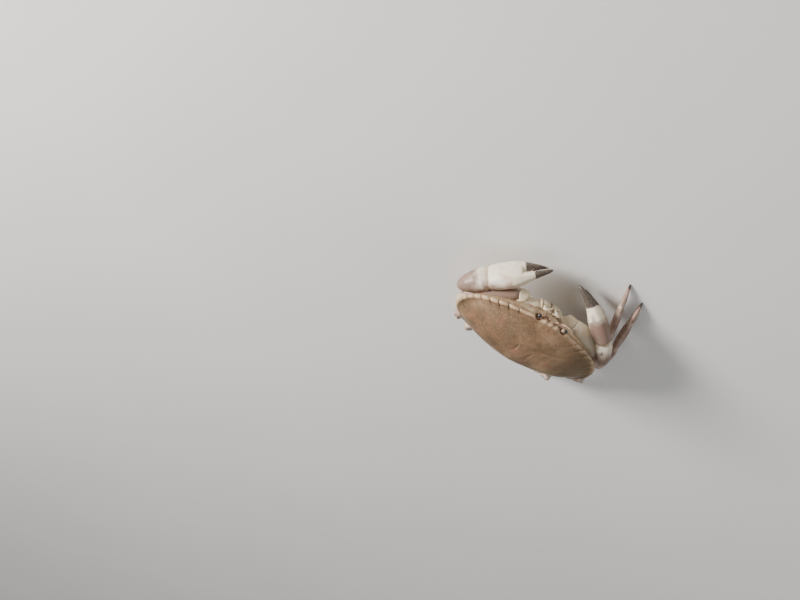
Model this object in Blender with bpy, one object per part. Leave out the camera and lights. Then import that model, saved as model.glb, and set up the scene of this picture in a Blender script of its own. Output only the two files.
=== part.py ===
"""Brown crab, Cancer pagurus, as a still life-size model.

Metres, +Z up. The crab faces -Y and its left is +X.
"""

import math

import bmesh
import bpy
import numpy as np
from mathutils import Matrix, Vector

MM = 0.001
GAP = 0.3 * MM  # between touching nodes

# Carapace, in the body frame: origin at mid width on the level of the side margin
HALF_WIDTH = 75 * MM
WIDEST_Y = 4 * MM  # the widest line lies behind the middle
FRONT_DEPTH = 50 * MM
REAR_DEPTH = 44 * MM
FRONT_POWER = 2.1
REAR_POWER = 1.75
FRONT_LIFT = 5 * MM  # the front margin rises towards the face
REAR_DROP = 4 * MM
DOME = 19 * MM
CRIMP_COUNT = 9.5  # lobes of the pie-crust rim on each side
CRIMP_DEPTH = 1.5 * MM
ORBIT_X = 13.5 * MM
ORBIT_RADIUS = 3.9 * MM
SHELL_FOOT = -10 * MM  # level where the turned-under side meets the underbody
SHELL_FOOT_SCALE = 0.56

# Underbody
BELLY = -26 * MM
BELLY_SHARE = 0.66  # of the shell's foot

# Stance
BODY_HEIGHT = 48 * MM  # side margin above the floor
NOSE_UP = math.radians(5)

# Legs: merus, carpus, propodus, dactylus widths (deep way, thin way)
MERUS = (14.0 * MM, 8.0 * MM)
CARPUS = (12.0 * MM, 8.0 * MM)
PROPODUS = (11.0 * MM, 7.4 * MM)
DACTYL = (7.0 * MM, 5.2 * MM)
TIP_FLAT = 0.9 * MM  # half width of the flat that stands on the floor

# Chelae
CLAW_LENGTH = 60 * MM
PALM_HEIGHT = 26 * MM
PALM_THICK = 16.5 * MM
FIXED_FINGER = 0.84  # the fixed finger's reach, as a share of the movable one's
HINGE_AT = 0.53  # share of the claw's length


def clear_scene():
    for obj in list(bpy.data.objects):
        bpy.data.objects.remove(obj, do_unlink=True)


def paint(name, colour, roughness):
    mat = bpy.data.materials.new(name)
    mat.use_nodes = True
    shader = mat.node_tree.nodes["Principled BSDF"]
    shader.inputs["Base Color"].default_value = (*colour, 1)
    shader.inputs["Roughness"].default_value = roughness
    shader.inputs["Metallic"].default_value = 0
    mat.diffuse_color = (*colour, 1)
    return mat


def unit(v):
    v = np.asarray(v, float)
    return v / np.linalg.norm(v)


def to_world(p):
    """Body frame to world: pitched nose up about the middle, then raised."""
    x, y, z = p
    c, s = math.cos(NOSE_UP), math.sin(NOSE_UP)
    return np.array([x, y * c + z * s, -y * s + z * c + BODY_HEIGHT])


def mesh_object(name, points, faces):
    mesh = bpy.data.meshes.new(name)
    mesh.from_pydata([tuple(map(float, p)) for p in points], [], faces)
    bm = bmesh.new()
    bm.from_mesh(mesh)
    bmesh.ops.remove_doubles(bm, verts=bm.verts, dist=2e-6)
    bmesh.ops.recalc_face_normals(bm, faces=bm.faces)
    bm.to_mesh(mesh)
    bm.free()
    obj = bpy.data.objects.new(name, mesh)
    bpy.context.scene.collection.objects.link(obj)
    return obj


def loft(name, rings):
    """A closed body through rings of equal count, with a flat face at each end."""
    count = len(rings[0])
    points = [p for ring in rings for p in ring]
    faces = []
    for i in range(len(rings) - 1):
        for j in range(count):
            a, b = i * count + j, i * count + (j + 1) % count
            faces.append((a, b, b + count, a + count))
    faces.append(tuple(range(count))[::-1])
    faces.append(tuple(range((len(rings) - 1) * count, len(rings) * count)))
    return mesh_object(name, points, faces)


def largest_piece(obj):
    """Keeps the largest closed surface of a mesh."""
    bm = bmesh.new()
    bm.from_mesh(obj.data)
    seen, groups = set(), []
    for start in bm.faces:
        if start in seen:
            continue
        stack, group = [start], []
        seen.add(start)
        while stack:
            face = stack.pop()
            group.append(face)
            for edge in face.edges:
                for other in edge.link_faces:
                    if other not in seen:
                        seen.add(other)
                        stack.append(other)
        groups.append(group)
    groups.sort(key=lambda g: sum(f.calc_area() for f in g))
    for group in groups[:-1]:
        bmesh.ops.delete(bm, geom=group, context="FACES")
    bm.to_mesh(obj.data)
    bm.free()


def tidy(obj):
    bm = bmesh.new()
    bm.from_mesh(obj.data)
    bmesh.ops.remove_doubles(bm, verts=bm.verts, dist=2e-5)
    bmesh.ops.dissolve_degenerate(bm, edges=bm.edges, dist=1e-5)
    bmesh.ops.triangulate(bm, faces=[f for f in bm.faces if len(f.verts) > 4])
    bmesh.ops.recalc_face_normals(bm, faces=bm.faces)
    bm.to_mesh(obj.data)
    bm.free()


def boolean(obj, others, how):
    """Joins, cuts or crosses obj with closed bodies, which are then removed."""
    group = bpy.data.collections.new("tools")
    bpy.context.scene.collection.children.link(group)
    for other in others:
        bpy.context.scene.collection.objects.unlink(other)
        group.objects.link(other)
    change = obj.modifiers.new(how, "BOOLEAN")
    change.operation = how
    change.operand_type = "COLLECTION"
    change.collection = group
    change.solver = "EXACT"
    mesh = bpy.data.meshes.new_from_object(obj.evaluated_get(bpy.context.evaluated_depsgraph_get()))
    obj.modifiers.remove(change)
    obj.data = mesh
    for other in others:
        bpy.data.objects.remove(other, do_unlink=True)
    bpy.data.collections.remove(group)
    largest_piece(obj)
    tidy(obj)
    return obj


def cut_flat(obj, point, normal):
    """Removes what lies beyond a plane and closes the cut with a flat face."""
    bm = bmesh.new()
    bm.from_mesh(obj.data)
    bmesh.ops.bisect_plane(
        bm,
        geom=bm.verts[:] + bm.edges[:] + bm.faces[:],
        dist=1e-7,
        plane_co=Vector(point),
        plane_no=Vector(normal),
        clear_outer=True,
    )
    bmesh.ops.holes_fill(bm, edges=[e for e in bm.edges if e.is_boundary], sides=0)
    bm.to_mesh(obj.data)
    bm.free()
    return obj


def frame_of(axis, up):
    """Columns: along the axis, sideways, and up as nearly as the axis allows."""
    x = unit(axis)
    z = unit(np.asarray(up, float) - np.dot(up, x) * x)
    return np.column_stack([x, np.cross(z, x), z])


def superellipse(angle, half_a, half_b, power=2.3):
    c, s = math.cos(angle), math.sin(angle)
    e = 2 / power
    return (
        half_a * math.copysign(abs(c) ** e, c),
        half_b * math.copysign(abs(s) ** e, s),
    )


def margin(angle, grow=0.0):
    """Edge of the carapace at an angle from the front, in the body frame."""
    s, c = math.sin(angle), math.cos(angle)
    front = c > 0
    e = 2 / (FRONT_POWER if front else REAR_POWER)
    depth = FRONT_DEPTH if front else REAR_DEPTH
    x = (HALF_WIDTH + grow) * math.copysign(abs(s) ** e, s)
    y = WIDEST_Y - math.copysign((depth + grow) * abs(c) ** e, c)
    z = FRONT_LIFT * c * c if front else -REAR_DROP * c * c
    return np.array([x, y, z])


def crimp(angle):
    """How far the rim's lobes stand in and out: broad lobes with narrow notches."""
    a = abs(angle)
    start = 0.42
    end = 1.86
    if a < start or a > end:
        return 0.0
    phase = (a - start) / (end - start) * CRIMP_COUNT
    wave = abs(math.sin(math.pi * phase)) ** 0.45
    fade = min(1, (phase + 0.3), (CRIMP_COUNT - phase) * 0.5)
    return -CRIMP_DEPTH * (1 - wave) * max(0, fade)


def frontal_lobes(x):
    """Three blunt teeth between the orbits, and the raised inner and outer orbital corners."""
    lobes = ((0, 2.2, 3.0), (6.2, 2.0, 2.6), (-6.2, 2.0, 2.6), (19, 1.2, 4.0), (-19, 1.2, 4.0))
    return sum(h * MM * math.exp(-(((x / MM - c) / w) ** 2)) for c, h, w in lobes)


def regions(x, y):
    """Low swellings of the stomach, heart and gill regions with faint grooves between."""
    ax = abs(x)
    bumps = (
        (0, -20, 12, 11, 1.5),
        (0, 6, 9, 9, 1.0),
        (0, 24, 13, 8, 1.1),
        (33, -16, 17, 13, 1.2),
        (38, 12, 20, 14, 1.6),
        (14, -32, 8, 6, 0.8),
    )
    z = 0.0
    for cx, cy, wx, wy, h in bumps:
        z += h * MM * math.exp(-(((ax / MM - cx) / wx) ** 2) - ((y / MM - cy) / wy) ** 2)
    return z


def dome_point(angle, r, grow=0.0):
    rim = margin(angle, grow)
    x, y = rim[0] * r, WIDEST_Y + (rim[1] - WIDEST_Y) * r
    edge = crimp(angle) * r**10
    out = unit([rim[0], (rim[1] - WIDEST_Y) * 2, 0])
    x, y = x + out[0] * edge, y + out[1] * edge
    if math.cos(angle) > 0 and r > 0.8:
        y -= frontal_lobes(rim[0]) * ((r - 0.8) / 0.2) ** 2
    z = rim[2] * r * r + DOME * (1 - r**2.6) * (1 + grow / DOME) + regions(x, y) * (1 - r**6)
    return np.array([x, y, z + 1.3 * MM * math.exp(-(((r - 0.97) / 0.03) ** 2))])


def side_point(angle, t, grow=0.0):
    """Turned-under side of the shell, from the margin (t 0) to its foot (t 1)."""
    rim = dome_point(angle, 1.0, grow)
    foot_scale = SHELL_FOOT_SCALE + 0.24 * max(0, math.cos(angle)) + 0.1 * max(0, -math.cos(angle))
    x = rim[0] * (1 - (1 - foot_scale) * t**1.25)
    y = WIDEST_Y + (rim[1] - WIDEST_Y) * (1 - (1 - foot_scale) * t**1.25)
    z = rim[2] - 1.6 * MM * min(1, t * 6) + (SHELL_FOOT - rim[2] + 1.6 * MM) * t
    return np.array([x, y, z])


def ring_angles(count):
    """Even steps round the edge, closer together at the front."""
    return [math.tau * i / count - math.pi for i in range(count)]


def carapace():
    """Domed shell with the crimped rim, the turned-under sides and the two eye sockets."""
    angles = ring_angles(152)
    radii = [0.06, 0.2, 0.36, 0.5, 0.63, 0.74, 0.83, 0.9, 0.95, 0.985, 1.0]
    rings = [[to_world(dome_point(a, r)) for a in angles] for r in radii]
    rings += [[to_world(side_point(a, t)) for a in angles] for t in (0.04, 0.17, 0.4, 0.7, 1.0)]
    shell = loft("carapace", rings)
    sockets = []
    for side in (-1, 1):
        centre = orbit_centre(side)
        sockets.append(ball("socket", centre, (ORBIT_RADIUS,) * 3, np.eye(3), 18, 12))
    shell = boolean(shell, sockets, "DIFFERENCE")
    return shell


def front_edge(x):
    """The point of the front margin at a distance from the middle line."""
    e = 2 / FRONT_POWER
    s = math.copysign((abs(x) / HALF_WIDTH) ** (1 / e), x)
    return margin(math.asin(s))


def orbit_centre(side):
    edge = front_edge(side * ORBIT_X)
    return to_world(edge + np.array([0, -0.6 * MM, -1.0 * MM]))


def ball(name, centre, radii, frame, around=16, rings=10, power=2.0):
    """A closed superellipsoid."""
    loops = []
    for i in range(rings + 1):
        lat = math.pi * (i / rings - 0.5)
        if i in (0, rings):
            lat *= 0.985
        e = 2 / power
        ring = []
        for j in range(around):
            lon = math.tau * j / around
            u = math.cos(lat) ** e
            px = math.copysign(abs(math.cos(lon)) ** e, math.cos(lon)) * u
            py = math.copysign(abs(math.sin(lon)) ** e, math.sin(lon)) * u
            pz = math.copysign(abs(math.sin(lat)) ** e, lat)
            local = np.array([px * radii[0], py * radii[1], pz * radii[2]])
            ring.append(centre + frame @ local)
        loops.append(ring)
    return loft(name, loops)


def belly_point(angle, t, grow=0.0):
    """Side of the underbody from the shell's foot (t 0) to the flat belly (t 1)."""
    top = side_point(angle, 1.0)
    scale = 1 - (1 - BELLY_SHARE) * t**1.2
    front = max(0, math.cos(angle))
    x = top[0] * scale * (1 + grow / HALF_WIDTH)
    y = WIDEST_Y + (top[1] - WIDEST_Y) * (scale + 0.1 * front * t)
    radial = unit([x, y - WIDEST_Y, 0])
    z = (SHELL_FOOT - GAP) + (BELLY - SHELL_FOOT + GAP) * t
    return np.array([x, y, z - grow * t]) + radial * grow


def underbody_rings(grow=0.0, lift=0.0):
    angles = ring_angles(72)
    rings = []
    for t in (0, 0.3, 0.6, 0.85, 1.0):
        rings.append([to_world(belly_point(a, t, grow) + [0, 0, lift * (1 - t)]) for a in angles])
    return rings


def tube(name, points, radii, frame_up, around=10, power=2.2, start=None, end=None):
    """A limb through points, each with its half deep and half thin widths. start and end are
    (point, normal) planes that the end faces lie in."""
    points = [np.asarray(p, float) for p in points]
    rings = []
    for i, p in enumerate(points):
        ahead = points[min(i + 1, len(points) - 1)] - points[max(i - 1, 0)]
        frame = frame_of(ahead, frame_up)
        plane = start if i == 0 else end if i == len(points) - 1 else None
        deep, thin = radii[i]
        ring = []
        for j in range(around):
            u, v = superellipse(math.tau * (j + 0.5) / around, thin, deep, power)
            q = p + frame[:, 1] * u + frame[:, 2] * v
            if plane is not None:
                normal = unit(plane[1])
                along = frame[:, 0]
                q = q + along * (np.dot(plane[0] - q, normal) / np.dot(along, normal))
            ring.append(q)
        rings.append(ring)
    return loft(name, rings)


def walking_leg(name, joints, up, scale, made):
    """Four segments that meet in the planes that halve each bend."""
    p = [limb_root(*joints[:2])] + [np.asarray(j, float) * MM for j in joints[2:]]
    dirs = [unit(p[i + 1] - p[i]) for i in range(4)]
    planes = [dirs[0]] + [unit(dirs[i - 1] + dirs[i]) for i in range(1, 4)] + [np.array([0, 0, -1.0])]
    sizes = (MERUS, CARPUS, PROPODUS, DACTYL)
    shapes = (
        ((0.0, 0.62), (0.12, 0.88), (0.45, 1.0), (0.8, 0.95), (1.0, 0.66)),
        ((0.0, 0.7), (0.2, 0.86), (0.6, 1.0), (0.85, 1.0), (1.0, 0.82)),
        ((0.0, 0.8), (0.2, 0.96), (0.5, 1.0), (0.85, 0.86), (1.0, 0.62)),
        ((0.0, 0.84), (0.15, 0.95), (0.4, 0.84), (0.7, 0.55), (0.9, 0.32), (1.0, 0.27)),
    )
    for i, part in enumerate(("merus", "carpus", "propodus", "dactylus")):
        a, b = p[i], p[i + 1]
        deep, thin = sizes[i][0] * scale / 2, sizes[i][1] * scale / 2
        bow = 2.2 * MM * scale if i == 3 else 0.8 * MM if i == 0 else 0
        frame = frame_of(b - a, up)
        points, radii = [], []
        for t, size in shapes[i]:
            points.append(a + (b - a) * t + frame[:, 2] * bow * math.sin(math.pi * t))
            radii.append((deep * size, thin * size * (1 if t in (0.0, 1.0) else 1.04)))
        # The ends run past the joints and are then cut flat, each in its joint's plane
        over = [0 if i == 0 else past_joint(deep, planes[i], dirs[i]), 0]
        points[0] = a - dirs[i] * over[0]
        if i == 3:
            radii[-1] = (TIP_FLAT, TIP_FLAT)
            obj = tube(f"{name}_{part}", points, radii, up, end=(b, planes[4]))
        else:
            over[1] = past_joint(deep, planes[i + 1], dirs[i])
            points[-1] = b + dirs[i] * over[1]
            obj = tube(f"{name}_{part}", points, radii, up)
            cut_flat(obj, b - planes[i + 1] * GAP / 2, planes[i + 1])
        cut_flat(obj, a + planes[i] * (GAP / 2 if i else GAP), -planes[i])
        made[obj.name] = (obj, "dactyl_tip" if i == 3 else "leg")


def past_joint(deep, plane, way):
    """How far a segment must reach past a joint so that the joint's plane cuts it right across."""
    lean = math.acos(min(1, abs(float(np.dot(plane, way)))))
    return deep * 1.05 * math.tan(lean) + 1 * MM


def boss(root, way, half_deep, half_thin, neck):
    """Bent stub that rises out of the underbody and carries a limb's flat root."""
    inside = np.array([root[0] * 0.55, root[1] * 0.55, root[2]])
    wide = (half_deep * 1.1, half_thin * 1.1)
    points = [inside, (inside + root) / 2 - way * MM, root - way * neck, root]
    radii = [wide, wide, wide, (half_deep, half_thin)]
    return tube("boss", points, radii, (0, 0, 1), around=12, end=(root, way))


# Limbs: the root's angle round the underbody, in degrees from the front, and its share of the way down,
# then the joints in millimetres in the world, outwards
LEGS = {
    "right_leg1": (-72, 0.5, (-74.5, -9.5, 24), (-67.5, -32, 16.5), (-56, -60, 5.5), (-46, -84, 0)),
    "right_leg2": (-91, 0.45, (-85, 3, 28), (-82, -20, 18.5), (-76, -48, 6.5), (-69, -72, 0)),
    "right_leg3": (-110, 0.45, (-78, 27, 34), (-89, 43, 22.5), (-93, 62, 10.5), (-89, 83, 0)),
    "right_leg4": (-132, 0.45, (-57, 50, 36), (-64, 66, 25), (-66, 82, 11.5), (-62, 101, 0)),
    "left_leg1": (81, 0.5, (67, 14.5, 24.5), (62, 28, 10), (56, 4, 6), (46, -18, 0)),
    "left_leg2": (97, 0.45, (65, 29, 27.5), (55, 42, 12.5), (45, 22, 6), (35, 1, 0)),
    "left_leg3": (115, 0.45, (54, 42, 30), (51, 58, 18.5), (45, 75, 8), (36, 93, 0)),
    "left_leg4": (136, 0.45, (41, 50, 35), (33, 64, 23), (26, 78.5, 11), (18, 95, 0)),
}
LEG_SCALE = {"leg1": 0.96, "leg2": 1.0, "leg3": 0.97, "leg4": 0.84}
ROOT_REACH = 4.5 * MM  # how far the bosses stand out of the underbody

CLAWS = {
    "left": {
        "root": (34, 0.5),
        "elbow": (66, -4.5, 35),
        "carpus": (78, -3, 37.5),
        "block": 1.0,
        "wrist": (62.8, -23, 30.6),
        "tip": (28, -61.5, 20),
        "lean": 17,
        "curl": 3.0,
    },
    "right": {
        "root": (-28.3, 0.49),
        "elbow": (-63.5, -23, 37.5),
        "carpus": (-72, -21.5, 43),
        "block": 0.84,
        "wrist": (-60, -38, 36),
        "tip": (-13, -62.4, 8.5),
        "lean": -22,
        "curl": 6.3,
    },
}


def limb_root(degrees, share):
    """Where a limb's flat root lies, just off the side of the underbody."""
    p = belly_point(math.radians(degrees), share)
    return to_world(p + unit([p[0], p[1] - WIDEST_Y, 0]) * ROOT_REACH)


def claw_outline(t):
    """Upper and lower edge and half thickness of the closed claw at a share of its length."""
    knots = (
        (0.00, 0.44, -0.42, 0.40),
        (0.05, 0.47, -0.46, 0.46),
        (0.18, 0.50, -0.49, 0.53),
        (0.38, 0.50, -0.49, 0.53),
        (0.53, 0.42, -0.44, 0.42),
        (0.66, 0.30, -0.35, 0.30),
        (0.80, 0.19, -0.25, 0.21),
        (0.92, 0.10, -0.13, 0.14),
        (1.00, 0.02, -0.04, 0.06),
    )
    for (t0, *a), (t1, *b) in zip(knots, knots[1:]):
        if t <= t1:
            k = (t - t0) / (t1 - t0)
            return [u + (v - u) * k for u, v in zip(a, b)]
    return list(knots[-1][1:])


def finger(name, to_claw, upper):
    """One finger of the claw, rounded, tapering to a blunt incurved tip."""
    rings = []
    steps = (0.44, 0.53, 0.6, 0.68, 0.76, 0.84, 0.91, 0.96, 1.0)
    for step in steps:
        t = step if upper else steps[0] + (step - steps[0]) * FIXED_FINGER
        top, bottom, thick = claw_outline(min(t, 0.985))
        split = -0.03 - 0.05 * (t - 0.5)
        high, low = (top, split - 0.02) if upper else (split + 0.02, bottom)
        centre, half = (high + low) / 2 * PALM_HEIGHT, max(0.9 * MM, (high - low) / 2 * PALM_HEIGHT)
        ring = []
        for j in range(12):
            wide = max(0.8 * MM, thick * PALM_THICK * 0.92)
            u, v = superellipse(math.tau * (j + 0.5) / 12, wide, half, 2.2)
            ring.append(to_claw(t * CLAW_LENGTH, u, centre + v))
        rings.append(ring)
    return loft(name, rings)


def bite_prism(name, to_claw, upper):
    """Region that a finger keeps or loses: beyond the hinge line and above the bite line."""
    hinge, end = HINGE_AT * CLAW_LENGTH, CLAW_LENGTH * 1.1
    shift = GAP if upper else 0
    wall = PALM_THICK
    line = []
    steps = 26
    for i in range(steps + 1):
        k = i / steps
        x = hinge + shift + (end - hinge - shift) * k
        open_up = 2.0 * MM * math.sin(math.pi * min(1, k * 1.15) ** 0.8) + 1.0 * MM * k
        tooth = 0.55 * MM * (0.5 + 0.5 * math.cos(math.tau * k * 5.5)) * math.sin(math.pi * min(1, k * 1.2))
        base = (-0.03 - 0.05 * k) * PALM_HEIGHT
        z = base + GAP + open_up - tooth if upper else base - 0.2 * MM - open_up * 0.55 + tooth
        line.append((x, z))
    line.append((end, PALM_HEIGHT))
    line.append((hinge + shift - 3.5 * MM, PALM_HEIGHT))
    rings = [[to_claw(x, y, z) for x, z in line] for y in (-wall, wall)]
    return loft(name, rings)


def claw(side_name, spec, made):
    """Arm, carpus, palm with its fixed finger, and the movable finger of one claw."""
    side = 1 if side_name == "left" else -1
    p = {k: np.asarray(spec[k], float) * MM for k in ("elbow", "carpus", "wrist", "tip")}
    p["root"] = limb_root(*spec["root"])
    axis = unit(p["tip"] - p["wrist"])
    frame = frame_of(axis, (0, 0, 1))
    outward = frame[:, 1] * (1 if frame[1, 1] < 0 else -1)
    lean = math.radians(spec["lean"])
    up = frame[:, 2] * math.cos(lean) - outward * math.sin(lean)
    face = unit(outward * math.cos(lean) + frame[:, 2] * math.sin(lean))

    def to_claw(x, y, z):
        bend = spec["curl"] * MM * max(0, x / CLAW_LENGTH - 0.42) ** 2 / 0.58**2
        return p["wrist"] + axis * x + face * (y - bend) + up * z

    def palm_rings(grow):
        rings = []
        for t in (0.0, 0.03, 0.07, 0.13, 0.2, 0.29, 0.38, 0.46, 0.53, 0.58):
            top, bottom, thick = claw_outline(t)
            ring = []
            centre, half = (top + bottom) / 2 * PALM_HEIGHT, (top - bottom) / 2 * PALM_HEIGHT
            for j in range(18):
                angle = math.tau * (j + 0.5) / 18
                u, v = superellipse(angle, thick * PALM_THICK + grow, half + grow, 2.35)
                ring.append(to_claw(t * CLAW_LENGTH - (grow if t == 0 else 0), u, centre + v))
            rings.append(ring)
        return rings

    palm = loft(f"{side_name}_palm", palm_rings(0))
    palm = boolean(palm, [finger("fixed", to_claw, False)], "UNION")
    palm = boolean(palm, [bite_prism("bite", to_claw, False)], "DIFFERENCE")
    made[palm.name] = (palm, "claw")
    dactyl = finger(f"{side_name}_claw_finger", to_claw, True)
    dactyl = boolean(dactyl, [bite_prism("bite", to_claw, True)], "INTERSECT")
    made[dactyl.name] = (dactyl, "claw_tip")

    # Carpus: a wedge that widens to the wrist, hollowed where the arm's end sits in it
    arm_way = unit(p["elbow"] - p["root"])
    carpus_way = p["wrist"] + axis * 2 * MM - p["carpus"]
    shares = (-0.16, -0.02, 0.2, 0.5, 0.8, 1.0)
    sizes = ((2.4, 2.2), (6.2, 5.8), (8.6, 8.2), (10.4, 9.6), (11.6, 9.4), (11.2, 8.2))
    points = [p["carpus"] + carpus_way * t for t in shares]
    radii = [(deep * MM * spec["block"], thin * MM * spec["block"]) for deep, thin in sizes]
    carpus = tube(f"{side_name}_claw_carpus", points, radii, up, 18, 2.4)
    spine_at = p["wrist"] - axis * 6 * MM - face * 5 * MM + up * 6 * MM * spec["block"]
    spine_end = spine_at - face * 6 * MM * spec["block"] + axis * 2 * MM
    spine = tube("spine", [spine_at, spine_end], [(4 * MM, 4 * MM), (1 * MM, 1 * MM)], up, 8)
    carpus = boolean(carpus, [spine], "UNION")
    cut_flat(carpus, p["wrist"] - axis * GAP, axis)
    tidy(carpus)
    carpus = boolean(carpus, [arm_tube("socket", p, arm_way, GAP), carapace_cutter()], "DIFFERENCE")
    made[carpus.name] = (carpus, "claw")
    arm = arm_tube(f"{side_name}_claw_arm", p, arm_way, 0)
    body_grown = loft("grown", underbody_rings(GAP, GAP))
    palm_grown = loft("palm_grown", palm_rings(GAP * 1.2))
    arm = boolean(arm, [carapace_cutter(), body_grown, palm_grown], "DIFFERENCE")
    made[arm.name] = (arm, "claw")


def arm_tube(name, p, way, grow, back=None):
    """The claw's arm, swelling between its root and its elbow."""
    length = np.linalg.norm(p["elbow"] - p["root"])
    shares = (0, 0.15, 0.45, 0.75, 0.93, 1)
    widths = ((6.4, 5.6), (8.4, 7.0), (10.8, 7.8), (9.6, 7.4), (7.2, 6.2), (5.6, 5.0))
    points = [p["root"] + way * length * t for t in shares]
    radii = [(deep * MM + grow, thin * MM + grow) for deep, thin in widths]
    start = (p["root"] + way * (GAP - grow if back is None else back), way)
    end = (p["elbow"] + way * grow, way)
    return tube(name, points, radii, (0, 0, 1), around=12, start=start, end=end)


def underbody(made):
    """Sternum and mouth frame, with a boss for each limb."""
    body = loft("underbody", underbody_rings())
    bosses = []
    for leg, joints in LEGS.items():
        root, knee = limb_root(*joints[:2]), np.asarray(joints[2], float) * MM
        way = unit(knee - root)
        scale = LEG_SCALE[leg.split("_")[1]]
        bosses.append(boss(root, way, MERUS[0] * 0.33 * scale, MERUS[1] * 0.36 * scale, 3.4 * MM))
    for spec in CLAWS.values():
        root, elbow = limb_root(*spec["root"]), np.asarray(spec["elbow"], float) * MM
        way = unit(elbow - root)
        bosses.append(boss(root, way, 6.3 * MM, 5.5 * MM, 2 * MM))
    body = boolean(body, bosses, "UNION")
    sockets = []
    for spec in CLAWS.values():
        p = {"root": limb_root(*spec["root"]), "elbow": np.asarray(spec["elbow"], float) * MM}
        sockets.append(arm_tube("socket", p, unit(p["elbow"] - p["root"]), GAP, back=0.05 * MM))
    body = boolean(body, sockets, "DIFFERENCE")
    made["underbody"] = (body, "underside")


def abdomen(made):
    """Tail flap, folded forward under the belly, with cross grooves between its segments."""
    bottom = BELLY - 2.6 * MM
    path = []
    for i in range(25):
        t = i / 24
        y = 32 * MM - t * 39 * MM
        bend = max(0, (y - 20 * MM) / (13 * MM))
        z = bottom + 14.0 * MM * bend**1.5
        groove = 0.35 * MM * (1 - abs(math.sin(math.pi * t * 6)) ** 0.5)
        half = (11.5 - 7.5 * t**0.8) * MM * (0.35 if t > 0.985 else 1)
        path.append((y, z + groove, half))
    rings = []
    for y, z, half in path:
        slope = 4.6 * MM
        ring = [(-half, y, z + 0.8 * MM), (-half * 0.7, y, z), (half * 0.7, y, z), (half, y, z + 0.8 * MM)]
        ring += [(half, y, z + slope), (-half, y, z + slope)]
        rings.append([to_world(p) for p in ring])
    flap = loft("abdomen", rings)
    keeper = loft("grown", underbody_rings(GAP))
    flap = boolean(flap, [keeper], "DIFFERENCE")
    made["abdomen"] = (flap, "underside")


def mouthparts(made):
    """The pair of outer maxillipeds that close the mouth frame like doors."""
    for side, name in ((1, "left"), (-1, "right")):
        rings = []
        for t in (-0.04, 0.1, 0.35, 0.56, 0.6, 0.64, 0.85, 1.06):
            base = belly_point(0, max(0, min(1, t)))
            z = base[2] - (t - max(0, min(1, t))) * 14 * MM
            y = base[1] + (1.4 * MM if t in (-0.04, 1.06) else 0.7 * MM if t == 0.6 else 0)
            x0, x1 = 0.2 * MM, (10.2 - 2.4 * t + 0.8 * math.sin(math.pi * t)) * MM
            ring = []
            for x, d in ((x0, 2.2), (x0 + 1.4 * MM, 2.9), (x1 - 2 * MM, 2.7), (x1, 1.2)):
                ring.append(to_world((side * x, y - d * MM, z)))
            for x in (x1, x0):
                ring.append(to_world((side * x, y + 6 * MM, z)))
            rings.append(ring)
        door = loft(f"{name}_maxilliped", rings)
        door = boolean(door, [loft("grown", underbody_rings(GAP, lift=GAP))], "DIFFERENCE")
        cutter = carapace_cutter()
        door = boolean(door, [cutter], "DIFFERENCE")
        made[door.name] = (door, "underside")


def carapace_cutter():
    """The shell grown by the gap, for trimming what stands against it."""
    angles = ring_angles(96)
    radii = [0.06, 0.4, 0.7, 0.9, 1.0]
    rings = [[to_world(dome_point(a, r, GAP) + [0, 0, GAP]) for a in angles] for r in radii]
    low = np.array([0, 0, -GAP])
    rings += [[to_world(side_point(a, t, GAP) + low) for a in angles] for t in (0.04, 0.17, 0.4, 0.7, 1.0)]
    return loft("cutter", rings)


def eyes(made):
    """Short stalked eyes that fill the sockets, trimmed to the socket wall."""
    for side, name in ((1, "left"), (-1, "right")):
        centre = orbit_centre(side)
        root = centre + to_world((-side * 3.4 * MM, 2.2 * MM, -0.6 * MM)) - to_world((0, 0, 0))
        look = centre + to_world((side * 0.5 * MM, -1.5 * MM, 0.4 * MM)) - to_world((0, 0, 0))
        frame = frame_of(look - root, (0, 0, 1))
        thick = [(1.5 * MM, 1.5 * MM)] * 3
        stalk = tube(f"{name}_eye", [root, (root + look) / 2, look], thick, (0, 0, 1), 12)
        bead = ball("bead", look, (2.1 * MM, 2.0 * MM, 2.0 * MM), frame, 16, 10)
        stalk = boolean(stalk, [bead], "UNION")
        near = ball("near", centre, (ORBIT_RADIUS - GAP,) * 3, np.eye(3), 18, 12)
        stalk = boolean(stalk, [near], "INTERSECT")
        made[stalk.name] = (stalk, "eye")


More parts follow.
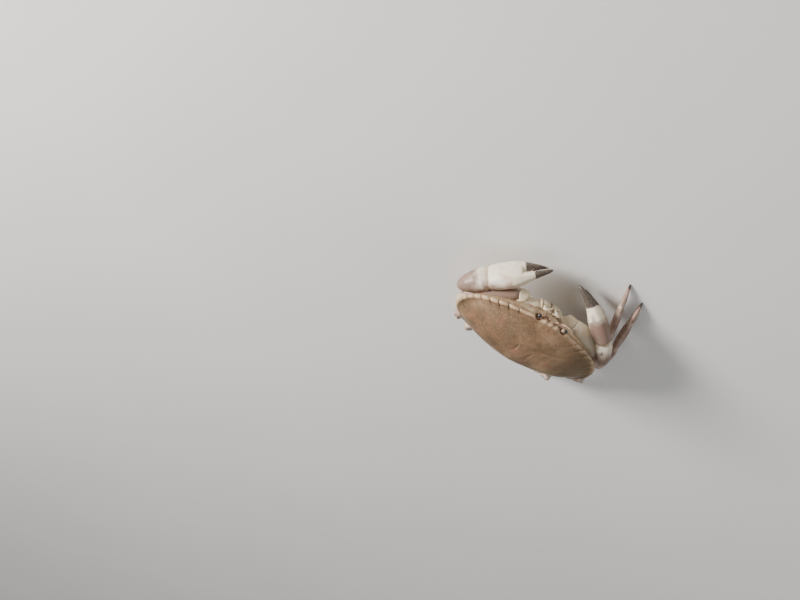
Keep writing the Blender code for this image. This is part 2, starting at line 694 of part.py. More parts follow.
def feelers(made):
    """Antennae with their short whips, and the small folded antennules."""
    for side, name in ((1, "left"), (-1, "right")):
        base = front_edge(side * 8.2 * MM)
        start = base + np.array([0, 2.6 * MM, -3.6 * MM])
        whip = [
            start,
            start + np.array([side * 0.4, -3.0, -0.4]) * MM,
            start + np.array([side * 1.4, -6.2, -0.2]) * MM,
            start + np.array([side * 3.4, -9.6, 1.4]) * MM,
            start + np.array([side * 6.0, -12.6, 4.0]) * MM,
            start + np.array([side * 9.2, -15.0, 7.6]) * MM,
        ]
        radii = [(1.5 * MM, 1.5 * MM), (1.45 * MM, 1.45 * MM), (1.1 * MM, 1.1 * MM)]
        radii += [(0.55 * MM, 0.55 * MM), (0.42 * MM, 0.42 * MM), (0.27 * MM, 0.27 * MM)]
        feeler = tube(f"{name}_antenna", [to_world(p) for p in whip], radii, (0, 0, 1), 8)
        feeler = boolean(feeler, [carapace_cutter()], "DIFFERENCE")
        made[feeler.name] = (feeler, "feeler")
        base = front_edge(side * 3.2 * MM)
        start = base + np.array([0, 3.0 * MM, -3.9 * MM])
        small = [
            start,
            start + np.array([side * 0.3, -3.6, 0.2]) * MM,
            start + np.array([side * 1.0, -5.4, 0.6]) * MM,
            start + np.array([side * 1.6, -6.6, 1.8]) * MM,
            start + np.array([side * 1.2, -7.4, 3.4]) * MM,
        ]
        radii = [(k * MM, k * MM) for k in (1.1, 1.1, 0.75, 0.45, 0.3)]
        feeler = tube(f"{name}_antennule", [to_world(p) for p in small], radii, (0, 0, 1), 8)
        feeler = boolean(feeler, [carapace_cutter()], "DIFFERENCE")
        made[feeler.name] = (feeler, "feeler")


def centre_all(objects):
    """Puts the middle of the whole model's box over the origin, with the feet on the floor."""
    points = np.concatenate([[obj.matrix_world @ v.co for v in obj.data.vertices] for obj in objects])
    low, high = points.min(0), points.max(0)
    shift = np.array([(low[0] + high[0]) / 2, (low[1] + high[1]) / 2, low[2]])
    for obj in objects:
        obj.data.transform(Matrix.Translation(Vector(-shift)))
    print("shift_mm", [round(float(v) * 1000, 3) for v in shift])


def main():
    clear_scene()
    paints = {
        "shell": paint("shell", (0.42, 0.24, 0.16), 0.5),
        "underside": paint("underside", (0.72, 0.58, 0.42), 0.55),
        "claw": paint("claw", (0.66, 0.5, 0.42), 0.45),
        "claw_tip": paint("claw_tip", (0.16, 0.12, 0.11), 0.35),
        "leg": paint("leg", (0.45, 0.27, 0.22), 0.55),
        "dactyl_tip": paint("dactyl_tip", (0.3, 0.2, 0.15), 0.5),
        "eye": paint("eye", (0.04, 0.03, 0.03), 0.15),
        "feeler": paint("feeler", (0.5, 0.3, 0.22), 0.5),
    }
    made = {}
    made["carapace"] = (carapace(), "shell")
    underbody(made)
    abdomen(made)
    mouthparts(made)
    eyes(made)
    feelers(made)
    for name, spec in CLAWS.items():
        claw(name, spec, made)
    for name, joints in LEGS.items():
        walking_leg(name, joints, (0, 0, 1), LEG_SCALE[name.split("_")[1]], made)
    for obj, key in made.values():
        obj.data.materials.clear()
        obj.data.materials.append(paints[key])
        for face in obj.data.polygons:
            face.use_smooth = True
    centre_all([obj for obj, key in made.values()])


main()
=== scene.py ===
"""Looks of the brown crab: shell, claws, legs, face and bristles, with floor, lights and camera.

The crab faces -Y and its left is +X. Lengths in metres; tables of joints are in millimetres.
"""

import math
import random

import bmesh
import bpy
import numpy as np
from mathutils import Matrix, Vector
from mathutils.noise import noise as field


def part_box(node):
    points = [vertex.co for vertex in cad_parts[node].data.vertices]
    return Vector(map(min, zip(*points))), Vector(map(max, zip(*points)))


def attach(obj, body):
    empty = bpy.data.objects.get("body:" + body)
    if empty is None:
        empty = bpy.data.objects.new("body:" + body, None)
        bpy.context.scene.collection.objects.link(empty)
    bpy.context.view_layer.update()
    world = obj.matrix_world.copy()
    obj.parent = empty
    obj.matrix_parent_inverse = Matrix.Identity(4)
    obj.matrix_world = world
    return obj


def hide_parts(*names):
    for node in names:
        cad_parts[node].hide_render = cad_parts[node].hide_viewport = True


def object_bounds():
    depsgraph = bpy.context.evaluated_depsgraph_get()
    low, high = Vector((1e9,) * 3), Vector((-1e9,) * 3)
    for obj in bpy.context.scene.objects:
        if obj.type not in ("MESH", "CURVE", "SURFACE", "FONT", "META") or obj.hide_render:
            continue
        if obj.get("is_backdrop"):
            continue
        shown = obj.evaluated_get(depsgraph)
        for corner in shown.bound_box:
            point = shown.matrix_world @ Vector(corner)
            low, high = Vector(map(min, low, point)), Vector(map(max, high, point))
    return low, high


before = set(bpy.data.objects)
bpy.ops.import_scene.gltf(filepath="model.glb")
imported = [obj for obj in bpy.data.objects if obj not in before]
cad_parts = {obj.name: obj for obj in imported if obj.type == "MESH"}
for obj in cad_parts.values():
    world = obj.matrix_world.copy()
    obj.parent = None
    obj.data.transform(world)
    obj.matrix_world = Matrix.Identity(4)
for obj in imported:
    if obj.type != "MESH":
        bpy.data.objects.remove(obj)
cad_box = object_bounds()

MM = 0.001
rng = random.Random(11)

# Width of each hair's patch on the unwrapped skin
TUFT_PATCH = 0.003

# The view, fitted to the shell's outline: its angles about the body, and the body's place in the image
VIEW_AZIMUTH = math.radians(22.5)
VIEW_ELEVATION = math.radians(30.5)
VIEW_ROLL = math.radians(160.5)
VIEW_DISTANCE = 1.0
FOCAL_PX = 1062.0
BODY_PX = (526.2, 336.3)
IMAGE_PX = (800, 600)
SENSOR_MM = 36

# Body: the same driving sizes as the solids
HALF_WIDTH = 75 * MM
WIDEST_Y = 4 * MM
FRONT_DEPTH = 50 * MM
REAR_DEPTH = 44 * MM
FRONT_POWER = 2.1
REAR_POWER = 1.75
FRONT_LIFT = 5 * MM
REAR_DROP = 4 * MM
DOME = 19 * MM
CRIMP_COUNT = 9.5
CRIMP_FROM = 0.42
CRIMP_TO = 1.86
CRIMP_DEPTH = 1.5 * MM
ORBIT_X = 13.5 * MM
ORBIT_RADIUS = 3.9 * MM
SHELL_FOOT = -10 * MM
SHELL_FOOT_SCALE = 0.56
BELLY = -26 * MM
BELLY_SHARE = 0.66
BODY_HEIGHT = 48 * MM
NOSE_UP = math.radians(5)
ROOT_REACH = 4.5 * MM

MERUS = (14.0 * MM, 8.0 * MM)
CARPUS = (12.0 * MM, 8.0 * MM)
PROPODUS = (11.0 * MM, 7.4 * MM)
DACTYL = (7.0 * MM, 5.2 * MM)

CLAW_LENGTH = 60 * MM
PALM_HEIGHT = 26 * MM
PALM_THICK = 16.5 * MM
HINGE_AT = 0.53
FIXED_FINGER = 0.84
BITE_OPEN = 2.3 * MM
# Share of the claw's length and radius in millimetres of each tooth
TEETH = ((0.585, 2.0), (0.645, 2.3), (0.705, 2.1), (0.765, 1.8), (0.82, 1.4), (0.87, 1.1), (0.91, 0.9))


def unit(v):
    v = np.asarray(v, float)
    return v / np.linalg.norm(v)


def pitched(p):
    """Body frame to the floor's frame, before the model is centred over the origin."""
    x, y, z = p
    c, s = math.cos(NOSE_UP), math.sin(NOSE_UP)
    return np.array([x, y * c + z * s, -y * s + z * c + BODY_HEIGHT])


def margin(angle):
    """The shell's edge at an angle from the front, in the body frame."""
    s, c = math.sin(angle), math.cos(angle)
    front = c > 0
    e = 2 / (FRONT_POWER if front else REAR_POWER)
    depth = FRONT_DEPTH if front else REAR_DEPTH
    x = HALF_WIDTH * math.copysign(abs(s) ** e, s)
    y = WIDEST_Y - math.copysign(depth * abs(c) ** e, c)
    return np.array([x, y, FRONT_LIFT * c * c if front else -REAR_DROP * c * c])


def lobe_phase(angle):
    """Which lobe of the pie-crust rim an angle falls in, or None outside the lobed part."""
    share = (abs(angle) - CRIMP_FROM) / (CRIMP_TO - CRIMP_FROM)
    return share * CRIMP_COUNT if 0 <= share <= 1 else None


def crimp(angle):
    """How far the edge draws in between the lobes."""
    phase = lobe_phase(angle)
    if phase is None:
        return 0.0
    wave = abs(math.sin(math.pi * phase)) ** 0.45
    fade = min(1, phase + 0.3, (CRIMP_COUNT - phase) * 0.5)
    return -CRIMP_DEPTH * (1 - wave) * max(0, fade)


def frontal_lobes(x):
    """How far the five blunt lobes between and beside the eyes stand out."""
    lobes = ((0, 2.2, 3.0), (6.2, 2.0, 2.6), (-6.2, 2.0, 2.6), (19, 1.2, 4.0), (-19, 1.2, 4.0))
    return sum(h * MM * math.exp(-(((x / MM - c) / w) ** 2)) for c, h, w in lobes)


def regions(x, y):
    """Low swellings over the stomach, heart, gills and liver."""
    ax = abs(x)
    bumps = (
        (0, -20, 12, 11, 1.5),
        (0, 6, 9, 9, 1.0),
        (0, 24, 13, 8, 1.1),
        (33, -16, 17, 13, 1.2),
        (38, 12, 20, 14, 1.6),
        (14, -32, 8, 6, 0.8),
    )
    z = 0.0
    for cx, cy, wx, wy, h in bumps:
        z += h * MM * math.exp(-(((ax / MM - cx) / wx) ** 2) - ((y / MM - cy) / wy) ** 2)
    return z


def fine_relief(x, y, r, angle):
    """Muscle scars either side of the middle, the neck groove, and the slits between the rim's lobes."""
    ax, yy = abs(x) / MM, y / MM
    scar = math.exp(-(((ax - 7.5 - 0.012 * (yy + 2) ** 2) / 0.8) ** 2) - ((yy + 2) / 9) ** 4)
    neck = math.exp(-(((yy + 13 - 0.02 * ax**1.4 + ax * 0.35) / 1.3) ** 2) - ((ax - 20) / 13) ** 4)
    side = math.exp(-(((yy - 14 + ax * 0.12) / 1.6) ** 2) - ((ax - 24) / 12) ** 4)
    z = -0.55 * scar - 0.5 * neck - 0.35 * side
    z += 0.55 * field(Vector((x * 55, y * 55, 1))) + 0.2 * field(Vector((x * 170, y * 170, 5)))
    phase = lobe_phase(angle)
    if phase is not None and r > 0.86:
        slit = abs(math.sin(math.pi * phase))
        reach = min(1, (r - 0.86) / 0.08)
        z -= 1.1 * reach * math.exp(-((slit / 0.15) ** 2))
        z += 0.5 * reach * slit
    return z * MM


def dome_point(angle, r, fine=True):
    """Top of the shell at an angle and a share of the way from the middle to the edge."""
    rim = margin(angle)
    x, y = rim[0] * r, WIDEST_Y + (rim[1] - WIDEST_Y) * r
    edge = crimp(angle) * r**10
    out = unit([rim[0], (rim[1] - WIDEST_Y) * 2, 0])
    x, y = x + out[0] * edge, y + out[1] * edge
    if math.cos(angle) > 0 and r > 0.8:
        y -= frontal_lobes(rim[0]) * ((r - 0.8) / 0.2) ** 2
    z = rim[2] * r * r + DOME * (1 - r**2.6) + regions(x, y) * (1 - r**6)
    z += 1.3 * MM * math.exp(-(((r - 0.97) / 0.03) ** 2))
    if fine:
        z += fine_relief(x, y, r, angle)
    return np.array([x, y, z])


def side_point(angle, t):
    """Underlap of the shell, from its edge down to the seam."""
    rim = dome_point(angle, 1.0)
    foot = SHELL_FOOT_SCALE + 0.24 * max(0, math.cos(angle)) + 0.1 * max(0, -math.cos(angle))
    pull = 1 - (1 - foot) * t**1.25
    z = rim[2] - 1.6 * MM * min(1, t * 6) + (SHELL_FOOT - rim[2] + 1.6 * MM) * t
    return np.array([rim[0] * pull, WIDEST_Y + (rim[1] - WIDEST_Y) * pull, z])


def belly_point(angle, t):
    """Side of the underbody, from the seam down to the belly."""
    top = side_point(angle, 1.0)
    scale = 1 - (1 - BELLY_SHARE) * t**1.2
    front = max(0, math.cos(angle))
    y = WIDEST_Y + (top[1] - WIDEST_Y) * (scale + 0.1 * front * t)
    return np.array([top[0] * scale, y, SHELL_FOOT + (BELLY - SHELL_FOOT) * t])


# The solids were centred over the floor's origin: the shell's box says by how much
shell_low, shell_high = (np.array(v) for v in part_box("carapace"))
rear_edge = pitched(dome_point(math.pi, 1.0, False))
BODY_AT = np.array([(shell_low[0] + shell_high[0]) / 2, shell_high[1] - rear_edge[1], 0])


def to_world(p):
    return pitched(p) + BODY_AT


def placed(p_mm):
    """A joint of the tables, in millimetres, moved to where the solids stand."""
    return np.asarray(p_mm, float) * MM + BODY_AT


def frame_of(axis, up):
    x = unit(axis)
    z = unit(np.asarray(up, float) - np.dot(up, x) * x)
    return np.column_stack([x, np.cross(z, x), z])


def superellipse(angle, half_a, half_b, power=2.3):
    c, s = math.cos(angle), math.sin(angle)
    e = 2 / power
    return half_a * math.copysign(abs(c) ** e, c), half_b * math.copysign(abs(s) ** e, s)


def oval(around, half_a, half_b, power, place, shape=None):
    """A ring round a middle: place takes the two offsets, shape widens the ring by angle."""
    ring = []
    for j in range(around):
        angle = math.tau * j / around
        k = shape(angle) if shape else 1
        ring.append(place(*superellipse(angle, half_a * k, half_b * k, power)))
    return ring


def rounds(*widths_mm):
    """Half widths along a round tube."""
    return [(k * MM, k * MM) for k in widths_mm]


# Shader maths: a socket that takes Python operators


class Wire:
    """A shader socket that adds Math nodes when it meets an operator."""

    def __init__(self, paint, socket):
        self.paint = paint
        self.socket = socket

    def maths(self, kind, *others):
        return self.paint.node("ShaderNodeMath", {"operation": kind}, [self, *others])

    def __add__(self, other):
        return self.maths("ADD", other)

    def __sub__(self, other):
        return self.maths("SUBTRACT", other)

    def __rsub__(self, other):
        return self.paint.node("ShaderNodeMath", {"operation": "SUBTRACT"}, [other, self])

    def __mul__(self, other):
        return self.maths("MULTIPLY", other)

    __radd__ = __add__
    __rmul__ = __mul__


class Paint:
    """A material and the nodes it is made of."""

    def __init__(self, name):
        self.material = bpy.data.materials.new(name)
        self.material.use_nodes = True
        self.tree = self.material.node_tree
        self.shader = self.tree.nodes["Principled BSDF"]

    def feed(self, socket, value):
        if isinstance(value, Wire):
            self.tree.links.new(value.socket, socket)
        elif isinstance(value, tuple) and len(value) == 3 and len(socket.default_value) == 4:
            socket.default_value = (*value, 1)
        else:
            socket.default_value = value

    def node(self, kind, settings=None, values=(), output=0):
        made = self.tree.nodes.new(kind)
        for key, value in (settings or {}).items():
            if key == "stops":
                ramp = made.color_ramp.elements
                while len(ramp) < len(value):
                    ramp.new(0.5)
                for stop, (at, shade) in zip(ramp, value):
                    stop.position = at
                    stop.color = (*shade, 1) if isinstance(shade, tuple) else (shade, shade, shade, 1)
            else:
                setattr(made, key, value)
        pairs = values.items() if isinstance(values, dict) else enumerate(values)
        for key, value in pairs:
            self.feed(made.inputs[key], value)
        return Wire(self, made.outputs[output])

    def place(self):
        return self.node("ShaderNodeTexCoord", output="Object")

    def noise(self, scale, detail=3.0, rough=0.5, warp=0.0):
        values = {"Vector": self.place(), "Scale": scale, "Detail": detail}
        return self.node("ShaderNodeTexNoise", {}, values | {"Roughness": rough, "Distortion": warp})

    def cells(self, scale, feature="F1"):
        values = {"Vector": self.place(), "Scale": scale}
        return self.node("ShaderNodeTexVoronoi", {"feature": feature}, values)

    def mark(self, name):
        return self.node("ShaderNodeAttribute", {"attribute_name": name}, output="Fac")

    def ramp(self, value, *stops):
        return self.node("ShaderNodeValToRGB", {"stops": stops}, [value])

    def step(self, value, low, high):
        """0 below low, 1 above high, smooth between."""
        settings = {"interpolation_type": "SMOOTHSTEP"}
        values = {"Value": value, "From Min": low, "From Max": high}
        return self.node("ShaderNodeMapRange", settings, values)

    def mix(self, share, under, over):
        settings = {"data_type": "RGBA"}
        return self.node("ShaderNodeMix", settings, {0: share, 6: under, 7: over}, output=2)

    def finish(self, colour, roughness, height=None, depth=0.2 * MM, strength=1.0, **fixed):
        self.feed(self.shader.inputs["Base Color"], colour)
        self.feed(self.shader.inputs["Roughness"], roughness)
        if height is not None:
            values = {"Strength": strength, "Distance": depth, "Height": height}
            self.feed(self.shader.inputs["Normal"], self.node("ShaderNodeBump", {}, values))
        for key, value in fixed.items():
            self.feed(self.shader.inputs[key.replace("_", " ").title()], value)
        return self.material


def shell_paint():
    """Pinkish light brown with brown blotches, painted shade in dull green brown over the right side, a pale
    crimped rim and fine granules.
    """
    p = Paint("shell")
    rim, under = p.mark("rim"), p.mark("under")
    broad = p.noise(28, 4, 0.55, 0.6)
    patch = p.noise(85, 4, 0.6, 0.3)
    speck = p.noise(620, 2, 0.6)
    grain = p.cells(1050)
    stops = ((0.30, (0.12, 0.074, 0.036)), (0.5, (0.22, 0.128, 0.066)), (0.68, (0.34, 0.205, 0.115)))
    colour = p.ramp(broad, *stops)
    colour = p.mix(p.step(patch, 0.52, 0.68) * 0.5, colour, (0.33, 0.135, 0.080))
    colour = p.mix(p.step(patch, 0.46, 0.32) * 0.45, colour, (0.125, 0.105, 0.048))
    colour = p.mix(p.step(speck, 0.55, 0.70) * 0.4, colour, (0.46, 0.31, 0.19))
    colour = p.mix(p.step(speck, 0.46, 0.32) * 0.4, colour, (0.085, 0.042, 0.024))
    # Painted shade: towards -X, the crab's right side, the colour is darkened to a dull green brown, standing
    # in for the shade that falls there
    across = p.node("ShaderNodeSeparateXYZ", {}, [p.place()])
    painted_shade_right = p.step(across * -1 + (broad - 0.5) * 0.05, -0.02, 0.09)
    colour = p.mix(painted_shade_right * 0.5, colour, (0.115, 0.098, 0.045))
    lip = p.step(rim + (patch - 0.5) * 0.05, 0.955, 0.99)
    colour = p.mix(lip * 0.75, colour, (0.58, 0.40, 0.25))
    # Painted shade: the slits between the rim's lobes are darkened
    colour = p.mix(p.mark("slit") * 0.8, colour, (0.085, 0.045, 0.025))
    below = p.mix(p.step(patch, 0.4, 0.65), (0.56, 0.44, 0.27), (0.40, 0.24, 0.14))
    colour = p.mix(under, colour, below)
    height = (1 - grain) * 0.55 + patch * 0.6 + speck * 0.35
    return p.finish(colour, p.step(speck, 0.2, 0.8) * 0.16 + 0.40, height, 0.35 * MM, 0.55)


def claw_paint():
    """Cream with mauve patches over the palm and brown stains, which also carry painted shade on the right
    palm and the left arm; the fingers turn dark brown at a ragged line.
    """
    p = Paint("claw")
    reach, back = p.mark("reach"), p.mark("back")
    broad = p.noise(55, 4, 0.6, 0.4)
    speck = p.noise(520, 3, 0.6)
    stops = ((0.36, (0.72, 0.61, 0.45)), (0.5, (0.80, 0.72, 0.58)), (0.68, (0.70, 0.50, 0.40)))
    colour = p.ramp(broad, *stops)
    # Brown stains, and painted shade where the back mark carries it: the right palm and the left arm
    stain_and_shade = p.step(broad * 0.9 + back * 0.6, 0.62, 0.98)
    colour = p.mix(stain_and_shade * 0.9, colour, (0.19, 0.105, 0.075))
    colour = p.mix(p.step(speck, 0.55, 0.72) * 0.22, colour, (0.46, 0.27, 0.20))
    tip = p.step(reach + (broad - 0.5) * 0.10 + (speck - 0.5) * 0.02, -0.012, 0.012)
    dark = p.ramp(speck, (0.35, (0.050, 0.036, 0.028)), (0.7, (0.125, 0.095, 0.072)))
    colour = p.mix(tip, colour, dark)
    height = broad * 0.7 + (1 - p.cells(900)) * 0.5 * (1 - tip) + speck * 0.25
    return p.finish(colour, 0.40 - tip * 0.10, height, 0.3 * MM, 0.5)


def leg_paint():
    """Mauve brown, paler along the edges and at the joints, darkening to the horny tip."""
    p = Paint("leg")
    reach, joint = p.mark("reach"), p.mark("joint")
    broad = p.noise(70, 4, 0.6, 0.4)
    speck = p.noise(560, 3, 0.6)
    stops = ((0.34, (0.24, 0.13, 0.10)), (0.5, (0.43, 0.28, 0.225)), (0.66, (0.60, 0.47, 0.39)))
    colour = p.ramp(broad, *stops)
    colour = p.mix(p.step(speck, 0.54, 0.7) * 0.4, colour, (0.68, 0.55, 0.46))
    colour = p.mix(p.step(speck, 0.46, 0.3) * 0.35, colour, (0.17, 0.085, 0.065))
    colour = p.mix(joint * 0.65, colour, (0.64, 0.50, 0.38))
    horn = p.step(reach + (speck - 0.5) * 0.06, 0.80, 0.9)
    colour = p.mix(horn, colour, (0.045, 0.028, 0.02))
    height = broad * 0.6 + (1 - p.cells(1000)) * 0.5 + speck * 0.3
    return p.finish(colour, 0.46 - horn * 0.14, height, 0.3 * MM, 0.5)


def underside_paint():
    """Cream with faint yellow brown clouds."""
    p = Paint("underside")
    broad = p.noise(60, 4, 0.6, 0.3)
    speck = p.noise(480, 3, 0.6)
    stops = ((0.35, (0.66, 0.54, 0.37)), (0.55, (0.72, 0.60, 0.43)), (0.72, (0.52, 0.35, 0.23)))
    colour = p.ramp(broad, *stops)
    colour = p.mix(p.step(speck, 0.56, 0.72) * 0.3, colour, (0.50, 0.33, 0.22))
    return p.finish(colour, 0.48, broad + speck * 0.5, 0.25 * MM, 0.4)


def skin_paint():
    """Soft yellowish skin between the plates of a joint."""
    p = Paint("joint_skin")
    fold = p.noise(700, 2, 0.5)
    colour = p.ramp(fold, (0.3, (0.50, 0.38, 0.20)), (0.7, (0.68, 0.56, 0.34)))
    return p.finish(colour, 0.38, fold, 0.3 * MM, 0.6)


def feeler_paint():
    """Reddish brown, speckled."""
    p = Paint("feeler")
    speck = p.noise(900, 2, 0.5)
    colour = p.ramp(speck, (0.35, (0.26, 0.13, 0.09)), (0.65, (0.52, 0.34, 0.25)))
    return p.finish(colour, 0.45, speck, 0.15 * MM, 0.4)


def cornea_paint():
    """Black with a fine net of facets."""
    p = Paint("cornea")
    net = p.cells(5200, "DISTANCE_TO_EDGE")
    colour = p.mix(p.step(net, 0.0, 0.1), (0.03, 0.022, 0.018), (0.012, 0.009, 0.008))
    return p.finish(colour, 0.12, net, 0.05 * MM, 0.25, coat_weight=0.6)


def bristle_paint():
    """Warm brown hair, paler in places."""
    p = Paint("bristle")
    colour = p.ramp(p.noise(300, 2), (0.3, (0.16, 0.085, 0.045)), (0.7, (0.36, 0.23, 0.13)))
    return p.finish(colour, 0.6)


def floor_paint():
    """Off white, all but even."""
    p = Paint("floor")
    cloud = p.noise(3.0, 3, 0.5)
    colour = p.ramp(cloud, (0.3, (0.80, 0.79, 0.77)), (0.7, (0.84, 0.83, 0.81)))
    return p.finish(colour, 0.75)


# Mesh making


def put(name, data):
    obj = bpy.data.objects.new(name, data)
    bpy.context.scene.collection.objects.link(obj)
    return obj


def smooth_shaded(mesh):
    mesh.polygons.foreach_set("use_smooth", [True] * len(mesh.polygons))


def mesh_piece(name, points, faces, material=None, marks=None):
    """A mesh with its doubles merged and its faces outwards; marks hold one value for each point."""
    mesh = bpy.data.meshes.new(name)
    mesh.from_pydata([tuple(map(float, p)) for p in points], [], faces)
    for key, values in (marks or {}).items():
        data = mesh.attributes.new(key, "FLOAT", "POINT")
        data.data.foreach_set("value", np.asarray(values, np.float32))
    bm = bmesh.new()
    bm.from_mesh(mesh)
    bmesh.ops.remove_doubles(bm, verts=bm.verts, dist=1e-7)
    bmesh.ops.recalc_face_normals(bm, faces=bm.faces)
    bm.to_mesh(mesh)
    bm.free()
    smooth_shaded(mesh)
    if material:
        mesh.materials.append(material)
    return put(name, mesh)


def ring_mesh(rings):
    """Points and faces of a closed body through rings, with a centre point at each end."""
    count = len(rings[0])
    points = [p for ring in rings for p in ring]
    faces = []
    for i in range(len(rings) - 1):
        for j in range(count):
            a, b = i * count + j, i * count + (j + 1) % count
            faces.append((a, b, b + count, a + count))
    first, last = len(points), len(points) + 1
    points += [np.mean(rings[0], axis=0), np.mean(rings[-1], axis=0)]
    top = (len(rings) - 1) * count
    faces += [(first, (j + 1) % count, j) for j in range(count)]
    faces += [(last, top + j, top + (j + 1) % count) for j in range(count)]
    return points, faces


def loft(name, rings, material=None, marks=None):
    """marks hold one value for each ring point; the two end points repeat their ring's mean."""
    points, faces = ring_mesh(rings)
    full = {}
    count = len(rings[0])
    for key, values in (marks or {}).items():
        values = list(values)
        full[key] = values + [float(np.mean(values[:count])), float(np.mean(values[-count:]))]
    return mesh_piece(name, points, faces, material, full)


def ball(centre, radii, turn, around=32, rings=18, power=2.0, name="ball", material=None):
    """A ball or rounded block of three radii, turned by a matrix."""
    loops = []
    e = 2 / power
    for i in range(1, rings):
        lat = math.pi * (i / rings - 0.5)
        ring = []
        for j in range(around):
            lon = math.tau * j / around
            u = math.cos(lat) ** e
            px = math.copysign(abs(math.cos(lon)) ** e, math.cos(lon)) * u
            py = math.copysign(abs(math.sin(lon)) ** e, math.sin(lon)) * u
            pz = math.copysign(abs(math.sin(lat)) ** e, lat)
            ring.append(centre + turn @ np.array([px * radii[0], py * radii[1], pz * radii[2]]))
        loops.append(ring)
    return loft(name, loops, material)


def tube(name, points, radii, up, around=24, power=2.1, material=None, shape=None):
    """A tapering body along a path; shape may change the width by share of length and angle."""
    points = [np.asarray(p, float) for p in points]
    rings, reach = [], []
    for i, p in enumerate(points):
        way = points[min(i + 1, len(points) - 1)] - points[max(i - 1, 0)]
        turn = frame_of(way, up)
        deep, thin = radii[i]
        t = i / (len(points) - 1)
        widen = (lambda angle: shape(t, angle)) if shape else None
        rings.append(oval(around, thin, deep, power, lambda u, v: p + turn[:, 1] * u + turn[:, 2] * v, widen))
        reach += [t] * around
    return loft(name, rings, material, {"reach": reach})


def apply_modifiers(obj):
    seen = obj.evaluated_get(bpy.context.evaluated_depsgraph_get())
    mesh = bpy.data.meshes.new_from_object(seen)
    old = obj.data
    obj.modifiers.clear()
    obj.data = mesh
    bpy.data.meshes.remove(old)
    return obj


def drop(*objects):
    for obj in objects:
        bpy.data.objects.remove(obj, do_unlink=True)


def merged(name, objects):
    """Joins meshes into one object with no change to their places."""
    bm = bmesh.new()
    for obj in objects:
        bm.from_mesh(obj.data)
    mesh = bpy.data.meshes.new(name)
    bm.to_mesh(mesh)
    bm.free()
    drop(*objects)
    return put(name, mesh)


def grown_together(name, objects, voxel, smooth, material):
    """Overlapping closed bodies remeshed to one skin, then smoothed like a moulted shell."""
    obj = merged(name, objects)
    skin = obj.modifiers.new("skin", "REMESH")
    skin.mode = "VOXEL"
    skin.voxel_size = voxel
    even = obj.modifiers.new("even", "SMOOTH")
    even.iterations = smooth
    even.factor = 0.5
    apply_modifiers(obj)
    return finished(obj, material)


def finished(obj, material):
    """One material and smooth shading all over."""
    obj.data.materials.clear()
    obj.data.materials.append(material)
    smooth_shaded(obj.data)
    return obj


def set_mark(obj, name, function):
    """Stores a value worked out from the place of each point."""
    points = np.empty(len(obj.data.vertices) * 3)
    obj.data.vertices.foreach_get("co", points)
    data = obj.data.attributes.get(name) or obj.data.attributes.new(name, "FLOAT", "POINT")
    data.data.foreach_set("value", np.asarray(function(points.reshape(-1, 3)), np.float32))


def cut(obj, others):
    """Takes closed bodies out of a piece."""
    for other in others:
        change = obj.modifiers.new("cut", "BOOLEAN")
        change.object = other
        change.operation = "DIFFERENCE"
        change.solver = "EXACT"
    apply_modifiers(obj)
    drop(*others)
    return obj


def show(piece, slot, *nodes):
    """Puts a finished piece on the body in place of its solids."""
    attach(piece, "root")
    if nodes:
        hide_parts(*nodes)
    return piece


# Shell and underside


def shell_angles(count):
    """Steps round the edge, nearly three times as close along the lobed sides as behind."""
    angles = []
    dense, sparse, turn = 0.62, 1.75, 2.0
    rear, lobed = (math.pi - turn) / sparse, 2 * turn / dense
    for i in range(count):
        share = i / count * (lobed + 2 * rear)
        if share < rear:
            angles.append(-math.pi + share * sparse)
        elif share < rear + lobed:
            angles.append(-turn + (share - rear) * dense)
        else:
            angles.append(turn + (share - rear - lobed) * sparse)
    return angles


def slit_shade_at(angle):
    """Painted shade in the slits between the rim's lobes: 1 in the slit between two lobes, 0 on the lobes."""
    phase = lobe_phase(angle)
    return 0.0 if phase is None else math.exp(-((math.sin(math.pi * phase) / 0.17) ** 2))


def make_carapace(material):
    angles = shell_angles(640)
    radii = [0.02 + 0.83 * (i / 44) for i in range(45)]
    radii += [0.85 + 0.15 * (i / 36) for i in range(1, 37)]
    drops = [0.01, 0.025, 0.05, 0.09, 0.14, 0.2, 0.28, 0.37, 0.47, 0.58, 0.7, 0.82, 0.92, 1.0]
    rings = [[to_world(dome_point(a, r)) for a in angles] for r in radii]
    rings += [[to_world(side_point(a, t)) for a in angles] for t in drops]
    rim, under, slit = [], [], []
    for r in radii:
        rim += [r] * len(angles)
        under += [0.0] * len(angles)
        slit += [slit_shade_at(a) * min(1, max(0, (r - 0.90) / 0.06)) for a in angles]
    for t in drops:
        rim += [1.0 - min(1, t * 4)] * len(angles)
        under += [min(1, t * 3.5)] * len(angles)
        slit += [slit_shade_at(a) * max(0, 1 - t * 5) for a in angles]
    shell = loft("shell", rings, None, {"rim": rim, "under": under, "slit": slit})
    sockets = [ball(orbit_centre(side), (ORBIT_RADIUS,) * 3, np.eye(3), 28, 18) for side in (-1, 1)]
    sockets += [antennule_pit(side) for side in (-1, 1)]
    cut(shell, sockets)
    return show(finished(shell, material), "shell", "carapace")


def front_edge(x):
    e = 2 / FRONT_POWER
    return margin(math.asin(math.copysign((abs(x) / HALF_WIDTH) ** (1 / e), x)))


def orbit_centre(side):
    return to_world(front_edge(side * ORBIT_X) + np.array([0, -0.6 * MM, -1.0 * MM]))


def antennule_pit(side):
    """Shallow slanting pit under the front, in which the antennule folds."""
    at = to_world(front_edge(side * 4.6 * MM) + np.array([0, -1.2 * MM, -4.2 * MM]))
    return ball(at, (3.0 * MM, 2.6 * MM, 1.5 * MM), np.eye(3), 20, 12)


